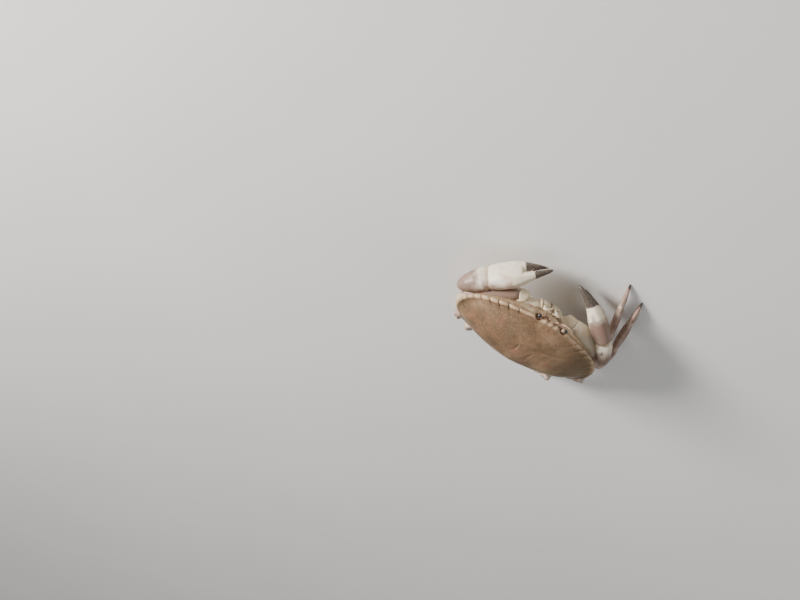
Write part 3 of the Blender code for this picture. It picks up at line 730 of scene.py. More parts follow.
def make_underbody(material):
    """Belly with a stub for each limb, grown into one skin."""
    angles = [math.tau * i / 160 - math.pi for i in range(160)]
    levels = (0.0, 0.15, 0.3, 0.5, 0.7, 0.85, 0.95, 1.0)
    parts = [loft("sternum", [[to_world(belly_point(a, t)) for a in angles] for t in levels])]
    for name, joints in LEGS.items():
        root, knee = limb_root(*joints[:2]), placed(joints[2])
        scale = LEG_SCALE[name.split("_")[1]]
        parts.append(boss(root, unit(knee - root), MERUS[0] * 0.35 * scale, MERUS[1] * 0.38 * scale))
    for spec in CLAWS.values():
        root, elbow = limb_root(*spec["root"]), placed(spec["elbow"])
        parts.append(boss(root, unit(elbow - root), 6.3 * MM, 5.5 * MM))
    body = grown_together("underbody_skin", parts, 0.7 * MM, 4, material)
    return show(body, "underside", "underbody")


def boss(root, way, half_deep, half_thin):
    """Bent stub that carries a limb's root, swollen like a hip."""
    inside = BODY_AT + (root - BODY_AT) * np.array([0.55, 0.55, 1])
    points = [inside, (inside + root) / 2 - way * MM, root - way * 3.2 * MM, root - way * 0.6 * MM, root]
    sizes = (1.1, 1.1, 1.16, 1.08, 0.92)
    return tube("hip", points, [(half_deep * k, half_thin * k) for k in sizes], (0, 0, 1))


def limb_root(degrees, share):
    """Where a limb leaves the body, by its angle from the front and share of the way down."""
    p = belly_point(math.radians(degrees), share)
    return to_world(p + unit([p[0], p[1] - WIDEST_Y, 0]) * ROOT_REACH)


def make_abdomen(material):
    """Tail flap folded under the body: six plates, narrower towards the tip."""
    thick, steps = 2.3 * MM, 72
    bottom = BELLY - 2.6 * MM
    rings = []
    for i in range(steps + 1):
        t = i / steps
        y = 32 * MM - t * 39 * MM
        bend = max(0, (y - 20 * MM) / (13 * MM))
        z = bottom + 14.0 * MM * bend**1.5 + thick
        groove = 0.55 * MM * (1 - abs(math.sin(math.pi * t * 6)) ** 0.3)
        half = (11.5 - 7.5 * t**0.8) * MM * math.sqrt(max(0.05, 1 - max(0, (t - 0.93) / 0.07) ** 2))
        rings.append(oval(28, half, thick - groove, 3.2, lambda u, v: to_world((u, y, z + v))))
    return show(loft("tail_flap", rings, material), "underside", "abdomen")


def mouth_plate(side, low, high, wide):
    """One plate of a mouth door, between two shares of the way down the front, rounded at its corners."""
    rings = []
    for i in range(15):
        t = low + (high - low) * i / 14
        on_belly = max(0, min(1, t))
        base = belly_point(0, on_belly)
        end = abs(i / 14 - 0.5) * 2
        corner = 0.30 if (high < 0.1 and i > 7) or (low > 1 and i < 7) else 0.10
        half = wide / 2 * MM * (1 - 0.16 * t) * (1 - corner * end**5)
        x = (0.45 * MM + half) * side
        y = base[1] - 1.0 * MM + 0.9 * MM * end**6
        z = base[2] - (t - on_belly) * 14 * MM
        thick = 2.0 * MM * (1 - 0.35 * end**6)
        rings.append(oval(24, half, thick, 2.8, lambda u, v: to_world((x + u, y + v, z))))
    return loft("plate", rings)


def make_mouth(material):
    """Mouth doors: a long inner plate, a shorter plate across it, a small palp and an outer rod."""
    plates = ((1.02, 0.455, 9.4), (0.425, -0.02, 9.3))
    palp_mm = ((8.2, -2.0, 1.0), (6.8, -3.4, 1.8), (4.4, -3.9, 1.4), (2.4, -3.7, -0.8), (1.7, -3.4, -3.6))
    hinge = belly_point(0, 0.12)
    for side, name in ((1, "left"), (-1, "right")):
        parts = [mouth_plate(side, *plate) for plate in plates]
        path = [to_world(np.array([side * x, y, z]) * MM + (0, hinge[1], hinge[2])) for x, y, z in palp_mm]
        parts.append(tube("palp", path, rounds(1.2, 1.25, 1.1, 0.85, 0.4), (0, 0, 1), 16))
        rail = []
        for t in (1.0, 0.8, 0.6, 0.4, 0.2, 0.06):
            base = belly_point(0, t)
            rail.append(to_world((side * (11.3 - 1.6 * t) * MM, base[1] - 0.5 * MM, base[2])))
        parts.append(tube("outer_rod", rail, rounds(1.0, 1.3, 1.3, 1.2, 1.0, 0.6), (0, 1, 0), 14))
        door = grown_together(f"{name}_mouth_door", parts, 0.28 * MM, 3, material)
        show(door, "underside", f"{name}_maxilliped")


def make_eyes(stalk_material, bead_material):
    """Short stalks out of the orbits, each with a black bead at its end."""
    for side, name in ((1, "left"), (-1, "right")):
        centre = orbit_centre(side)
        root = centre + pitched_way((-side * 3.4, 2.2, -0.6))
        tip = centre + pitched_way((side * 0.6, -1.7, 0.5))
        points = [root + (tip - root) * share for share in (0, 0.4, 0.75, 1)]
        sizes = rounds(1.5, 1.45, 1.75, 1.95)
        stalk = tube(f"{name}_eye_stalk", points, sizes, (0, 0, 1), 28, 2.0, stalk_material)
        show(stalk, "feeler", f"{name}_eye")
        at = tip + unit(tip - root) * 0.35 * MM
        radii = (2.0 * MM, 2.05 * MM, 2.05 * MM)
        turn = frame_of(tip - root, (0, 0, 1))
        bead = ball(at, radii, turn, 36, 24, 2.0, f"{name}_cornea", bead_material)
        show(bead, "eye", f"{name}_eye")


def pitched_way(step_mm):
    """A step in the body frame, in millimetres, turned with the body."""
    return pitched(np.asarray(step_mm, float) * MM) - pitched((0, 0, 0))


def smooth_path(points, steps):
    """Catmull-Rom curve through points."""
    points = [np.asarray(p, float) for p in points]
    ends = [2 * points[0] - points[1]] + points + [2 * points[-1] - points[-2]]
    path = []
    for i in range(1, len(ends) - 2):
        for k in range(steps):
            t = k / steps
            a, b, c, d = ends[i - 1 : i + 3]
            square, cube = 2 * a - 5 * b + 4 * c - d, 3 * b - a - 3 * c + d
            path.append(0.5 * (2 * b + (c - a) * t + square * t**2 + cube * t**3))
    return path + [points[-1]]


def make_feelers(material):
    """Antennae and antennules, each with its root, steps and half widths in millimetres."""
    whips = {
        "antenna": (
            (8.2, 2.6, -3.6),
            (
                (0, 0, 0),
                (0.4, -3.0, -0.4),
                (1.4, -6.2, -0.2),
                (3.4, -9.6, 1.4),
                (6.0, -12.6, 4.0),
                (9.2, -15.0, 7.6),
            ),
            (1.5, 1.6, 1.2, 0.55, 0.42, 0.22),
        ),
        "antennule": (
            (3.2, 3.0, -3.9),
            ((0, 0, 0), (0.3, -3.6, 0.2), (1.0, -5.4, 0.6), (1.6, -6.6, 1.8), (1.2, -7.4, 3.4)),
            (1.1, 1.2, 0.8, 0.45, 0.25),
        ),
    }
    for side, name in ((1, "left"), (-1, "right")):
        for kind, (base, steps, widths) in whips.items():
            start = front_edge(side * base[0] * MM) + np.array([0, base[1], base[2]]) * MM
            stops = [to_world(start + np.array([side * x, y, z]) * MM) for x, y, z in steps]
            path = smooth_path(stops, 14)
            count = len(path) - 1
            radii = []
            for i in range(count + 1):
                at = i / count * (len(widths) - 1)
                k = min(int(at), len(widths) - 2)
                width = widths[k] + (widths[k + 1] - widths[k]) * (at - k)
                ringed = 1 + 0.10 * (i % 2) if width < 0.9 else 1 + 0.14 * math.cos(math.tau * at)
                radii.append((width * MM * ringed,) * 2)
            piece = tube(f"{name}_{kind}_whip", path, radii, (0, 0, 1), 14, 2.0, material)
            show(piece, "feeler", f"{name}_{kind}")


# Limbs: the same joints as the solids. Root angle in degrees from the front and share of the way down,
# then joints in millimetres

LEGS = {
    "right_leg1": (-72, 0.5, (-74.5, -9.5, 24), (-67.5, -32, 16.5), (-56, -60, 5.5), (-46, -84, 0)),
    "right_leg2": (-91, 0.45, (-85, 3, 28), (-82, -20, 18.5), (-76, -48, 6.5), (-69, -72, 0)),
    "right_leg3": (-110, 0.45, (-78, 27, 34), (-89, 43, 22.5), (-93, 62, 10.5), (-89, 83, 0)),
    "right_leg4": (-132, 0.45, (-57, 50, 36), (-64, 66, 25), (-66, 82, 11.5), (-62, 101, 0)),
    "left_leg1": (81, 0.5, (67, 14.5, 24.5), (62, 28, 10), (56, 4, 6), (46, -18, 0)),
    "left_leg2": (97, 0.45, (65, 29, 27.5), (55, 42, 12.5), (45, 22, 6), (35, 1, 0)),
    "left_leg3": (115, 0.45, (54, 42, 30), (51, 58, 18.5), (45, 75, 8), (36, 93, 0)),
    "left_leg4": (136, 0.45, (41, 50, 35), (33, 64, 23), (26, 78.5, 11), (18, 95, 0)),
}
LEG_SCALE = {"leg1": 0.96, "leg2": 1.0, "leg3": 0.97, "leg4": 0.84}

CLAWS = {
    "left": {
        "root": (34, 0.5),
        "elbow": (66, -4.5, 35),
        "carpus": (78, -3, 37.5),
        "block": 1.0,
        "wrist": (62.8, -23, 30.6),
        "tip": (28, -61.5, 20),
        "lean": 17,
        "dark": (0.60, 0.72),
        # Painted shade on the left arm, as if in the palm's shadow
        "tan": 0.7,
        "shade": 0.0,
        "curl": 3.0,
    },
    "right": {
        "root": (-28.3, 0.49),
        "elbow": (-63.5, -23, 37.5),
        "carpus": (-72, -21.5, 43),
        "block": 0.84,
        "wrist": (-60, -38, 36),
        "tip": (-13, -62.4, 8.5),
        "lean": -22,
        "dark": (0.58, 0.63),
        "tan": 0.0,
        # Painted shade darkening the whole right palm
        "shade": 0.5,
        "curl": 6.3,
    },
}

# Share of length and share of the full width at stations along each segment
SEGMENTS = {
    "merus": (
        (-0.05, 0.5), (0.0, 0.66), (0.08, 0.84), (0.25, 0.95), (0.5, 1.0),
        (0.75, 0.98), (0.92, 0.88), (1.0, 0.72), (1.04, 0.4),
    ),
    "carpus": (
        (-0.09, 0.35), (-0.02, 0.62), (0.1, 0.8), (0.35, 0.92),
        (0.65, 1.02), (0.88, 1.0), (1.0, 0.84), (1.05, 0.5),
    ),
    "propodus": (
        (-0.08, 0.35), (-0.02, 0.66), (0.1, 0.88), (0.35, 1.0),
        (0.65, 0.98), (0.88, 0.84), (0.99, 0.7), (1.04, 0.4),
    ),
    "dactylus": (
        (-0.07, 0.35), (-0.02, 0.68), (0.08, 0.92), (0.25, 0.92),
        (0.5, 0.74), (0.75, 0.5), (0.92, 0.33), (1.0, 0.26),
    ),
}
WIDTHS = {"merus": MERUS, "carpus": CARPUS, "propodus": PROPODUS, "dactylus": DACTYL}


# Place round the segment in degrees, length and half the number of hairs of each fringe
FRINGES = {
    "merus": ((90, 0.55, 26), (270, 0.5, 22)),
    "carpus": ((65, 0.8, 22), (115, 0.8, 22), (270, 0.6, 16)),
    "propodus": ((55, 1.0, 46), (125, 1.0, 46), (235, 1.0, 40), (305, 1.0, 40)),
    "dactylus": tuple((30 + 60 * i, 0.8 if i in (1, 4) else 0.7, 70) for i in range(6)),
}


def between(knots, t):
    """Width at a share of length, eased half way to smooth."""
    for (t0, a), (t1, b) in zip(knots, knots[1:]):
        if t <= t1:
            k = (t - t0) / (t1 - t0)
            k = k * k * (3 - 2 * k) * 0.5 + k * 0.5
            return a + (b - a) * k
    return knots[-1][1]


def leg_section(part, angle):
    """Ridges and channels along a leg: the merus has a sharp upper keel, the others broad flutes."""
    upper = max(0.0, math.sin(angle))
    if part == "merus":
        return 1 + 0.05 * upper**8 - 0.05 * math.cos(2 * angle) ** 2 * upper
    if part == "dactylus":
        return 1 + 0.07 * math.cos(6 * angle)
    return 1 + 0.035 * math.cos(4 * angle + 0.6) + 0.05 * upper**10


def make_leg(name, joints, material, skin, roots):
    """Four plates of a leg, the skin in its joints, and the roots of its hairs."""
    p = [limb_root(*joints[:2])] + [placed(j) for j in joints[2:]]
    scale = LEG_SCALE[name.split("_")[1]]
    for i, part in enumerate(("merus", "carpus", "propodus", "dactylus")):
        a, b = p[i], p[i + 1]
        turn = frame_of(b - a, (0, 0, 1))
        deep, thin = (w * scale / 2 for w in WIDTHS[part])
        knots = SEGMENTS[part]
        low, high = knots[0][0], knots[-1][0]
        bow = 2.2 * MM * scale if i == 3 else 0.8 * MM if i == 0 else 0.5 * MM
        steps, around = 44, 36
        rings, reach, joint = [], [], []
        for k in range(steps + 1):
            t = low + (high - low) * k / steps
            size = between(knots, t)
            middle = a + (b - a) * t + turn[:, 2] * bow * math.sin(math.pi * min(1, max(0, t)))

            def above_floor(u, v):
                x, y, z = middle + turn[:, 1] * u + turn[:, 2] * v
                return np.array([x, y, max(z, 0.0)])

            widths = (thin * size * 1.03, deep * size)
            rings.append(oval(around, *widths, 2.25, above_floor, lambda angle: leg_section(part, angle)))
            near = min(abs(t), abs(1 - t)) if i < 3 else abs(t)
            joint += [math.exp(-((near / 0.10) ** 2))] * around
            reach += [t if i == 3 else 0.0] * around
        piece = loft(f"{name}_{part}_plate", rings, material, {"reach": reach, "joint": joint})
        show(piece, "dactyl_tip" if i == 3 else "leg", f"{name}_{part}")
        patch = (list(LEGS).index(name), i)
        sow_bristles(part, a, b, turn, deep, thin, scale, bow, patch, roots)
        if i:
            radii = (thin * 0.78, thin * 0.66, deep * 0.60)
            show(ball(a, radii, turn, 28, 16, 2.0, f"{name}_{part}_joint", skin), "leg")


def unwrapped(patch, u, v):
    """A place on the unwrapped skin: patches of 8 by 5, each one segment seen flat."""
    return (patch[0] + 0.06 + 0.88 * u) / 8, (patch[1] + 0.06 + 0.88 * v) / 5


def sow_seam(roots):
    """Short fringe along the seam under the shell, thickest beside the mouth."""
    for k in range(900):
        angle = -1.75 + 3.5 * (k + rng.random()) / 900
        if abs(math.degrees(abs(angle)) - 34) > 5:
            root = to_world(side_point(angle, 0.985))
            out = unit(root - to_world((0, WIDEST_Y, SHELL_FOOT)))
            way = unit(out * rng.uniform(0.3, 0.7) + np.array([rng.uniform(-0.3, 0.3), 0, -1]))
            spot = unwrapped((0, 4), (angle + 1.75) / 3.5, 0.3)
            roots.append((root, way, rng.uniform(1.0, 2.2) * MM, spot))


def sow_mouth(roots):
    """Fringe down the inner edges of the mouth's doors and across their middle."""
    for side in (-1, 1):
        for k in range(150):
            t = (k + rng.random()) / 150
            inner = k % 3 > 0
            x = (0.9 if inner else rng.uniform(1, 8)) * MM * side
            t = t if inner else 0.40
            base = belly_point(0, t)
            root = to_world((x, base[1] - 2.3 * MM, base[2]))
            way = unit(np.array([-side * rng.uniform(0.2, 0.8), -0.6, rng.uniform(-1.0, -0.2)]))
            spot = unwrapped((2 + side, 4), t, abs(x) / (10 * MM))
            roots.append((root, way, rng.uniform(0.8, 1.6) * MM, spot))


def sow_bristles(part, a, b, turn, deep, thin, scale, bow, patch, roots):
    """Roots and directions of the hair fringes along a leg segment's edges."""
    for degrees, long, count in FRINGES[part]:
        for k in range(count * 2):
            t = 0.06 + (0.80 if part == "dactylus" else 0.88) * (k + rng.random()) / (count * 2)
            angle = math.radians(degrees + rng.uniform(-9, 9))
            size = between(SEGMENTS[part], t)
            u, v = superellipse(angle, thin * size * 0.98, deep * size * 0.98, 2.25)
            middle = a + (b - a) * t + turn[:, 2] * bow * math.sin(math.pi * t)
            out = unit(turn[:, 1] * u + turn[:, 2] * v)
            root = middle + turn[:, 1] * u + turn[:, 2] * v
            way = unit(out + turn[:, 0] * rng.uniform(0.5, 1.1) + turn[:, 1] * rng.uniform(-0.25, 0.25))
            length = long * rng.uniform(1.3, 2.6) * MM * scale * (0.6 if part == "dactylus" else 1)
            if root[2] + way[2] * length > 0.4 * MM:
                roots.append((root, way, length, unwrapped(patch, t, degrees / 360)))


# Claws


def claw_outline(t):
    """Upper and lower edge and half thickness of the closed claw at a share of its length."""
    knots = (
        (0.00, 0.44, -0.42, 0.40),
        (0.05, 0.47, -0.46, 0.46),
        (0.18, 0.50, -0.49, 0.53),
        (0.38, 0.50, -0.49, 0.53),
        (0.53, 0.42, -0.44, 0.42),
        (0.66, 0.30, -0.35, 0.30),
        (0.80, 0.19, -0.25, 0.21),
        (0.92, 0.10, -0.13, 0.14),
        (1.00, 0.02, -0.04, 0.06),
    )
    return along(knots, t)


def soft_outline(t):
    """The outline with its corners eased by averaging nearby shares of length."""
    near = [claw_outline(min(1, max(0, t + d))) for d in (-0.035, -0.018, 0, 0.018, 0.035)]
    return [sum(values) / len(near) for values in zip(*near)]


def biting_edge(t, upper):
    """Height of a finger's biting edge above the claw's axis, as a share of the palm's height."""
    past = (t - HINGE_AT) / (1 - HINGE_AT)
    gap = BITE_OPEN / PALM_HEIGHT * math.sin(math.pi * min(1, max(0, past) * 1.1))
    return -0.03 - 0.05 * past + gap * (0.55 if upper else -0.40)


def finger_flutes(angle):
    return 1 + 0.035 * math.cos(5 * angle)


def finger_parts(claw, upper):
    """A rounded finger curving in to a blunt tip, with low rounded teeth along its bite."""
    rings = []
    steps = 46
    for i in range(steps + 1):
        t = 0.42 + (0.575 if upper else 0.575 * FIXED_FINGER) * i / steps
        top, bottom, thick = soft_outline(min(t, 0.985))
        edge = biting_edge(t, upper)
        high, low = (top, edge + 0.012) if upper else (edge - 0.012, bottom)
        centre = (high + low) / 2 * PALM_HEIGHT
        end = max(0, (i / steps - 0.90) / 0.10)
        round_off = math.sqrt(max(0.03, 1 - min(1, end) ** 2))
        half = max(0.8 * MM, (high - low) / 2 * PALM_HEIGHT) * round_off
        wide = max(0.9 * MM, thick * PALM_THICK * 0.95) * round_off
        x = t * CLAW_LENGTH
        rings.append(oval(32, wide, half, 2.15, lambda u, v: claw.at(x, u, centre + v), finger_flutes))
    parts = [loft("finger", rings)]
    for share, size in TEETH:
        t = share + (0.03 if upper else 0)
        z = biting_edge(t, upper) * PALM_HEIGHT + (0.9 * MM if upper else -0.9 * MM)
        parts.append(ball(claw.at(t * CLAW_LENGTH, 0, z), (size * MM,) * 3, np.eye(3), 16, 10))
    return parts


def along(knots, t):
    """Values between knots that start with their share of length."""
    for (t0, *a), (t1, *b) in zip(knots, knots[1:]):
        if t <= t1:
            k = max(0, (t - t0) / (t1 - t0))
            return [u + (v - u) * k for u, v in zip(a, b)]
    return list(knots[-1][1:])


def wrist_ribs(t, angle):
    """Two blunt ridges along the outer face of the wrist plate."""
    return 1 + 0.035 * math.cos(3 * angle + 0.5) * math.sin(math.pi * min(1, t * 1.1))


class ClawFrame:
    """A claw's joints in the world, and its directions along the palm, out of its face and up its height."""

    def __init__(self, spec):
        self.root = limb_root(*spec["root"])
        self.elbow = placed(spec["elbow"])
        self.carpus = placed(spec["carpus"])
        self.wrist = placed(spec["wrist"])
        self.axis = unit(placed(spec["tip"]) - self.wrist)
        level = frame_of(self.axis, (0, 0, 1))
        outward = level[:, 1] * (1 if level[1, 1] < 0 else -1)
        lean = math.radians(spec["lean"])
        self.up = level[:, 2] * math.cos(lean) - outward * math.sin(lean)
        self.face = unit(outward * math.cos(lean) + level[:, 2] * math.sin(lean))
        self.turn = np.column_stack([self.axis, self.face, self.up])
        self.block = spec["block"] * MM
        self.curl = spec["curl"] * MM

    def at(self, x, y, z):
        """A place by its distances from the wrist; the fingers curl inwards."""
        bend = self.curl * max(0, x / CLAW_LENGTH - 0.42) ** 2 / 0.58**2
        return self.wrist + self.axis * x + self.face * (y - bend) + self.up * z

    def reach(self, points):
        return ((points - self.wrist) @ self.axis) / CLAW_LENGTH

    def blotch_and_shade(self, points, shade):
        """Brown along the upper edge near the wrist, over an even painted shade that darkens the whole palm
        by the given amount.
        """
        high = ((points - self.wrist) @ self.up) / (PALM_HEIGHT / 2)
        brown = np.clip(high * 0.5 + 0.25, 0, 1) * np.clip(1 - self.reach(points) * 1.7, 0, 1)
        return np.clip(brown + shade, 0, 1)


def unreached(points):
    """The reach of a plate that has no dark end."""
    return np.full(len(points), -0.5)


def make_hand(side, spec, claw, material):
    """Palm with the fixed finger, and the movable finger."""
    rings = []
    for i in range(49):
        t = 0.01 + 0.57 * i / 48
        top, bottom, thick = soft_outline(t)
        squeeze = math.sqrt(max(0.06, 1 - max(0, (0.03 - t) / 0.03) ** 2))
        squeeze *= math.sqrt(max(0.1, 1 - max(0, (t - 0.53) / 0.055) ** 2))
        x, centre = t * CLAW_LENGTH, (top + bottom) / 2 * PALM_HEIGHT
        half = (top - bottom) / 2 * PALM_HEIGHT * squeeze
        wide = thick * PALM_THICK * squeeze
        rings.append(oval(48, wide, half, 2.35, lambda u, v: claw.at(x, u, centre + v)))
    parts = [loft("palm", rings), *finger_parts(claw, False)]
    palm = grown_together(f"{side}_palm_plate", parts, 0.42 * MM, 5, material)
    set_mark(palm, "reach", lambda points: claw.reach(points) - spec["dark"][0])
    # Painted shade: on the right claw, the claw's shade value darkens the whole palm
    set_mark(palm, "back", lambda points: claw.blotch_and_shade(points, spec["shade"]))
    show(palm, "claw", f"{side}_palm")
    thumb = grown_together(f"{side}_finger_plate", finger_parts(claw, True), 0.36 * MM, 4, material)
    set_mark(thumb, "reach", lambda points: claw.reach(points) - spec["dark"][1])
    set_mark(thumb, "back", lambda points: np.zeros(len(points)))
    show(thumb, "claw_tip", f"{side}_claw_finger")


# Share of the way to the wrist, half height and half width in millimetres
WRIST_KNOTS = (
    (-0.18, 1.6, 1.5),
    (-0.12, 4.0, 3.8),
    (-0.02, 6.2, 5.8),
    (0.20, 8.6, 8.2),
    (0.50, 10.5, 9.6),
    (0.80, 11.7, 9.5),
    (0.94, 10.9, 8.2),
    (1.02, 9.2, 6.4),
)
# The same along the arm, from the body to the elbow
ARM_KNOTS = (
    (0, 6.2, 5.4),
    (0.08, 7.6, 6.4),
    (0.15, 8.4, 7.0),
    (0.30, 9.8, 7.6),
    (0.45, 10.8, 7.8),
    (0.60, 10.6, 7.7),
    (0.75, 9.6, 7.4),
    (0.86, 8.5, 6.8),
    (0.95, 7.0, 6.0),
    (1, 5.4, 4.8),
)
# Knobs of the wrist plate: share of the way, lean towards the upper edge, radius in millimetres
WRIST_KNOBS = ((0.80, 0.95, 2.0), (0.45, 1.0, 1.7), (0.82, -0.2, 1.6))


def make_wrist(side, claw, material):
    """Wedge-shaped plate with a blunt spine and three knobs."""
    block, up, face = claw.block, claw.up, claw.face
    way = claw.wrist + claw.axis * 0.5 * MM - claw.carpus
    low, high = WRIST_KNOTS[0][0], WRIST_KNOTS[-1][0]
    points, radii = [], []
    for i in range(41):
        t = low + (high - low) * i / 40
        points.append(claw.carpus + way * t)
        radii.append([size * block for size in along(WRIST_KNOTS, t)])
    parts = [tube("wedge", points, radii, up, 44, 2.5, shape=wrist_ribs)]
    spine_at = claw.wrist - claw.axis * 6 * MM - face * 5 * MM + up * 6 * block
    spine_end = spine_at - face * 6 * block + claw.axis * 2 * MM
    spine = [spine_at, (spine_at + spine_end) / 2, spine_end]
    parts.append(tube("spine", spine, rounds(4.2, 2.7, 0.9), up, 20))
    for t, lean_to, size in WRIST_KNOBS:
        deep, thin = (half * block for half in along(WRIST_KNOTS, t))
        at = claw.carpus + way * t + up * deep * 0.72 * lean_to
        at = at + face * thin * 0.86 * (1 - abs(lean_to) * 0.6)
        parts.append(ball(at, (size * MM,) * 3, np.eye(3), 16, 10))
    plate = grown_together(f"{side}_wrist_plate", parts, 0.5 * MM, 4, material)
    span = np.linalg.norm(way)
    set_mark(plate, "reach", unreached)
    set_mark(plate, "back", lambda points: np.clip(1.25 - ((points - claw.carpus) @ unit(way)) / span, 0, 1))
    show(plate, "claw", f"{side}_claw_carpus")


def make_arm(side, spec, claw, material):
    way = claw.elbow - claw.root
    points = [claw.root + way * t for t, *sizes in ARM_KNOTS]
    radii = [(deep * MM, thin * MM) for t, deep, thin in ARM_KNOTS]
    arm = tube(f"{side}_arm_plate", points, radii, (0, 0, 1), 48, 2.3, material)
    set_mark(arm, "reach", unreached)
    height = 26 * MM
    # Browner towards the top; on the left arm the claw's value for the arm adds painted shade for the palm's
    # shadow
    set_mark(arm, "back", lambda points: np.clip((points[:, 2] - claw.root[2]) / height + spec["tan"], 0, 1))
    show(arm, "claw", f"{side}_claw_arm")


def make_claw(side, spec, material, skin):
    """Hand, wrist and arm, with soft skin at the wrist and in the finger's hinge."""
    claw = ClawFrame(spec)
    make_hand(side, spec, claw, material)
    make_wrist(side, claw, material)
    make_arm(side, spec, claw, material)
    radii = (3.4 * MM, 6.9 * claw.block, 10.9 * claw.block)
    at = claw.at(0.2 * MM, 0, 0)
    show(ball(at, radii, claw.turn, 36, 20, 2.2, f"{side}_wrist_skin", skin), "claw")
    radii = (2.6 * MM, 4.2 * MM, 4.6 * MM)
    at = claw.at(HINGE_AT * CLAW_LENGTH, 0, PALM_HEIGHT * 0.2)
    show(ball(at, radii, claw.turn, 32, 18, 2.0, f"{side}_finger_skin", skin), "claw")


# Bristles, by Geometry Nodes: one tapered hair on every root, turned along its direction


def bristle_tree(material):
    """Node tree for hairs: mesh points carry way, length and skin, their place on the unwrapped skin."""
    tree = bpy.data.node_groups.new("bristle_rows", "GeometryNodeTree")
    face = tree.interface
    face.new_socket("Geometry", in_out="INPUT", socket_type="NodeSocketGeometry")
    width = face.new_socket("Width", in_out="INPUT", socket_type="NodeSocketFloat")
    seed = face.new_socket("Seed", in_out="INPUT", socket_type="NodeSocketInt")
    face.new_socket("Geometry", in_out="OUTPUT", socket_type="NodeSocketGeometry")

    def node(kind, values, **settings):
        """A node with its settings, then the values or links of its sockets; gives its outputs."""
        made = tree.nodes.new(kind)
        for key, value in settings.items():
            setattr(made, key, value)
        for key, value in values.items():
            if isinstance(value, bpy.types.NodeSocket):
                tree.links.new(value, made.inputs[key])
            else:
                made.inputs[key].default_value = value
        return made.outputs

    def stored(name, data_type="FLOAT_VECTOR"):
        return node("GeometryNodeInputNamedAttribute", {"Name": name}, data_type=data_type)["Attribute"]

    def keep_uv(geometry, name, value):
        values = {"Geometry": geometry, "Name": name, "Value": value}
        made = node("GeometryNodeStoreNamedAttribute", values, data_type="FLOAT2", domain="CORNER")
        return made["Geometry"]

    entry = node("NodeGroupInput", {})
    sides = {"Vertices": 4, "Side Segments": 2, "Radius Top": 0.02, "Radius Bottom": 0.5, "Depth": 1.0}
    cone = node("GeometryNodeMeshCone", sides)
    hair = keep_uv(cone["Mesh"], "tuft", cone["UV Map"])
    vary = tree.nodes.new("FunctionNodeRandomValue")
    tree.links.new(entry["Seed"], vary.inputs["Seed"])
    limits = [socket for socket in vary.inputs if socket.name in ("Min", "Max") and socket.type == "VALUE"]
    for socket, value in zip(limits, (0.75, 1.2)):
        socket.default_value = value
    varied = next(socket for socket in vary.outputs if socket.type == "VALUE")
    thick = node("ShaderNodeMath", {0: entry["Width"], 1: varied}, operation="MULTIPLY")[0]
    size = node("ShaderNodeCombineXYZ", {"X": thick, "Y": thick, "Z": stored("length", "FLOAT")})
    turn = node("FunctionNodeAlignRotationToVector", {"Vector": stored("way")}, axis="Z")
    spots = node("GeometryNodeMeshToPoints", {0: entry["Geometry"]})
    values = {"Points": spots[0], "Instance": hair, "Rotation": turn["Rotation"], "Scale": size["Vector"]}
    rows = node("GeometryNodeInstanceOnPoints", values)["Instances"]
    hairs = node("GeometryNodeRealizeInstances", {0: rows})
    patch = node("ShaderNodeVectorMath", {0: stored("tuft"), "Scale": TUFT_PATCH}, operation="SCALE")
    spot = node("ShaderNodeVectorMath", {0: patch[0], 1: stored("skin")})
    painted = {"Geometry": keep_uv(hairs[0], "OFBake", spot[0]), "Material": material}
    node("NodeGroupOutput", {0: node("GeometryNodeSetMaterial", painted)[0]})
    return tree, width.identifier, seed.identifier


def make_bristles(name, slot, roots, width, tree_parts):
    """One piece of hairs, made a plain mesh."""
    tree, width_id, seed_id = tree_parts
    places, ways, lengths, patches = zip(*roots)
    mesh = bpy.data.meshes.new(name)
    mesh.from_pydata([tuple(place) for place in places], [], [])
    for key, kind, field_name, values in (
        ("way", "FLOAT_VECTOR", "vector", np.concatenate(ways)),
        ("length", "FLOAT", "value", np.array(lengths)),
        ("skin", "FLOAT_VECTOR", "vector", np.array([(*patch, 0) for patch in patches]).ravel()),
    ):
        data = mesh.attributes.new(key, kind, "POINT")
        data.data.foreach_set(field_name, values.astype(np.float32))
    obj = put(name, mesh)
    rows = obj.modifiers.new("rows", "NODES")
    rows.node_group = tree
    rows[width_id] = width
    rows[seed_id] = 5
    return show(apply_modifiers(obj), slot)


# Floor, lights and camera


def make_floor(material):
    corners = [(x, y, 0) for x, y in ((-6, -6), (6, -6), (6, 6), (-6, 6))]
    floor = mesh_piece("floor", corners, [(0, 1, 2, 3)], material)
    floor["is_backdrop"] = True


def make_camera():
    """The photograph's view from above, rolled over, with the crab off centre."""
    sin, cos = math.sin, math.cos
    right = np.array([cos(VIEW_AZIMUTH), sin(VIEW_AZIMUTH), 0])
    ahead = np.array([sin(VIEW_AZIMUTH), -cos(VIEW_AZIMUTH), 0])
    back = ahead * cos(VIEW_ELEVATION) + np.array([0, 0, sin(VIEW_ELEVATION)])
    up = np.cross(back, right)
    across = cos(VIEW_ROLL) * right - sin(VIEW_ROLL) * up
    upward = sin(VIEW_ROLL) * right + cos(VIEW_ROLL) * up
    # The fit was made in the body's own frame, so the camera is pitched with the body
    across, upward, back = (pitched(v) - pitched((0, 0, 0)) for v in (across, upward, back))
    aim = to_world((0, 0, 0))
    (width, height), (x, y) = IMAGE_PX, BODY_PX
    seen = Vector(((x - width / 2) / FOCAL_PX, (height / 2 - y) / FOCAL_PX, -1)).normalized()
    swing = seen.rotation_difference(Vector((0, 0, -1))).to_matrix()
    base = Matrix(np.column_stack([across, upward, back]).tolist())
    data = bpy.data.cameras.new("camera")
    data.sensor_width = SENSOR_MM
    data.lens = FOCAL_PX / width * SENSOR_MM
    data.clip_start = 0.01
    camera = put("camera", data)
    camera.matrix_world = Matrix.Translation(Vector(aim + back * VIEW_DISTANCE)) @ (base @ swing).to_4x4()
    bpy.context.scene.camera = camera
    return across, upward, back, aim


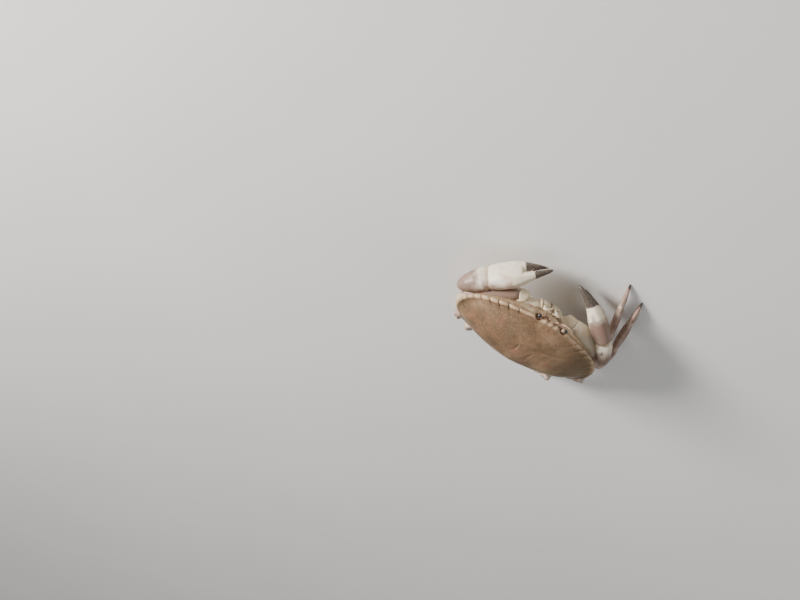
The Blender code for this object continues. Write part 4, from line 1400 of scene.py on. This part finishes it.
def make_light(name, place, aim, size, power, colour):
    data = bpy.data.lights.new(name, "AREA")
    data.size = size
    data.energy = power
    data.color = colour
    lamp = put(name, data)
    lamp.location = Vector(place)
    lamp.rotation_euler = (Vector(aim) - Vector(place)).to_track_quat("-Z", "Y").to_euler()


def make_lights(across, upward, back, aim):
    """One broad lamp from the upper left of the view, a weak fill, a soft sky and a pale room."""
    side = aim + unit(back * 0.8 - across * 1.0 + upward * 0.35) * 1.9
    make_light("key", side, aim, 0.62, 78.0, (1, 0.975, 0.94))
    make_light("fill", aim + np.array([-0.9, -0.4, 0.5]), aim, 0.8, 1.6, (0.93, 0.97, 1))
    sky = bpy.data.lights.new("sky", "SUN")
    sky.energy = 0.62
    sky.angle = math.radians(50)
    put("sky", sky).rotation_euler = (math.radians(-18), math.radians(14), 0)
    world = bpy.data.worlds.new("studio")
    bpy.context.scene.world = world
    world.use_nodes = True
    tree = world.node_tree
    shade = tree.nodes["Background"]
    shade.inputs["Color"].default_value = (0.80, 0.80, 0.80, 1)
    # What the camera sees past the floor is as pale as the floor; the light it gives is weaker
    ray = tree.nodes.new("ShaderNodeLightPath")
    power = tree.nodes.new("ShaderNodeMapRange")
    power.inputs["To Min"].default_value = 0.26
    power.inputs["To Max"].default_value = 0.80
    tree.links.new(ray.outputs["Is Camera Ray"], power.inputs["Value"])
    tree.links.new(power.outputs["Result"], shade.inputs["Strength"])


def main():
    claw_material, leg_material, skin = claw_paint(), leg_paint(), skin_paint()
    underside, feeler = underside_paint(), feeler_paint()
    make_carapace(shell_paint())
    make_underbody(underside)
    make_abdomen(underside)
    make_mouth(underside)
    make_eyes(feeler, cornea_paint())
    make_feelers(feeler)
    for name, spec in CLAWS.items():
        make_claw(name, spec, claw_material, skin)
    hair = bristle_tree(bristle_paint())
    for side in ("left", "right"):
        roots = []
        for name, joints in LEGS.items():
            if name.startswith(side):
                make_leg(name, joints, leg_material, skin, roots)
        make_bristles(f"{side}_leg_bristles", "leg", roots, 0.16 * MM, hair)
    roots = []
    sow_seam(roots)
    sow_mouth(roots)
    make_bristles("seam_bristles", "underside", roots, 0.15 * MM, hair)
    make_floor(floor_paint())
    make_lights(*make_camera())


main()
dressed_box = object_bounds()
boxes = {"cad": cad_box, "visual": dressed_box}
{name: [list(map(float, corner)) for corner in box] for name, box in boxes.items()}
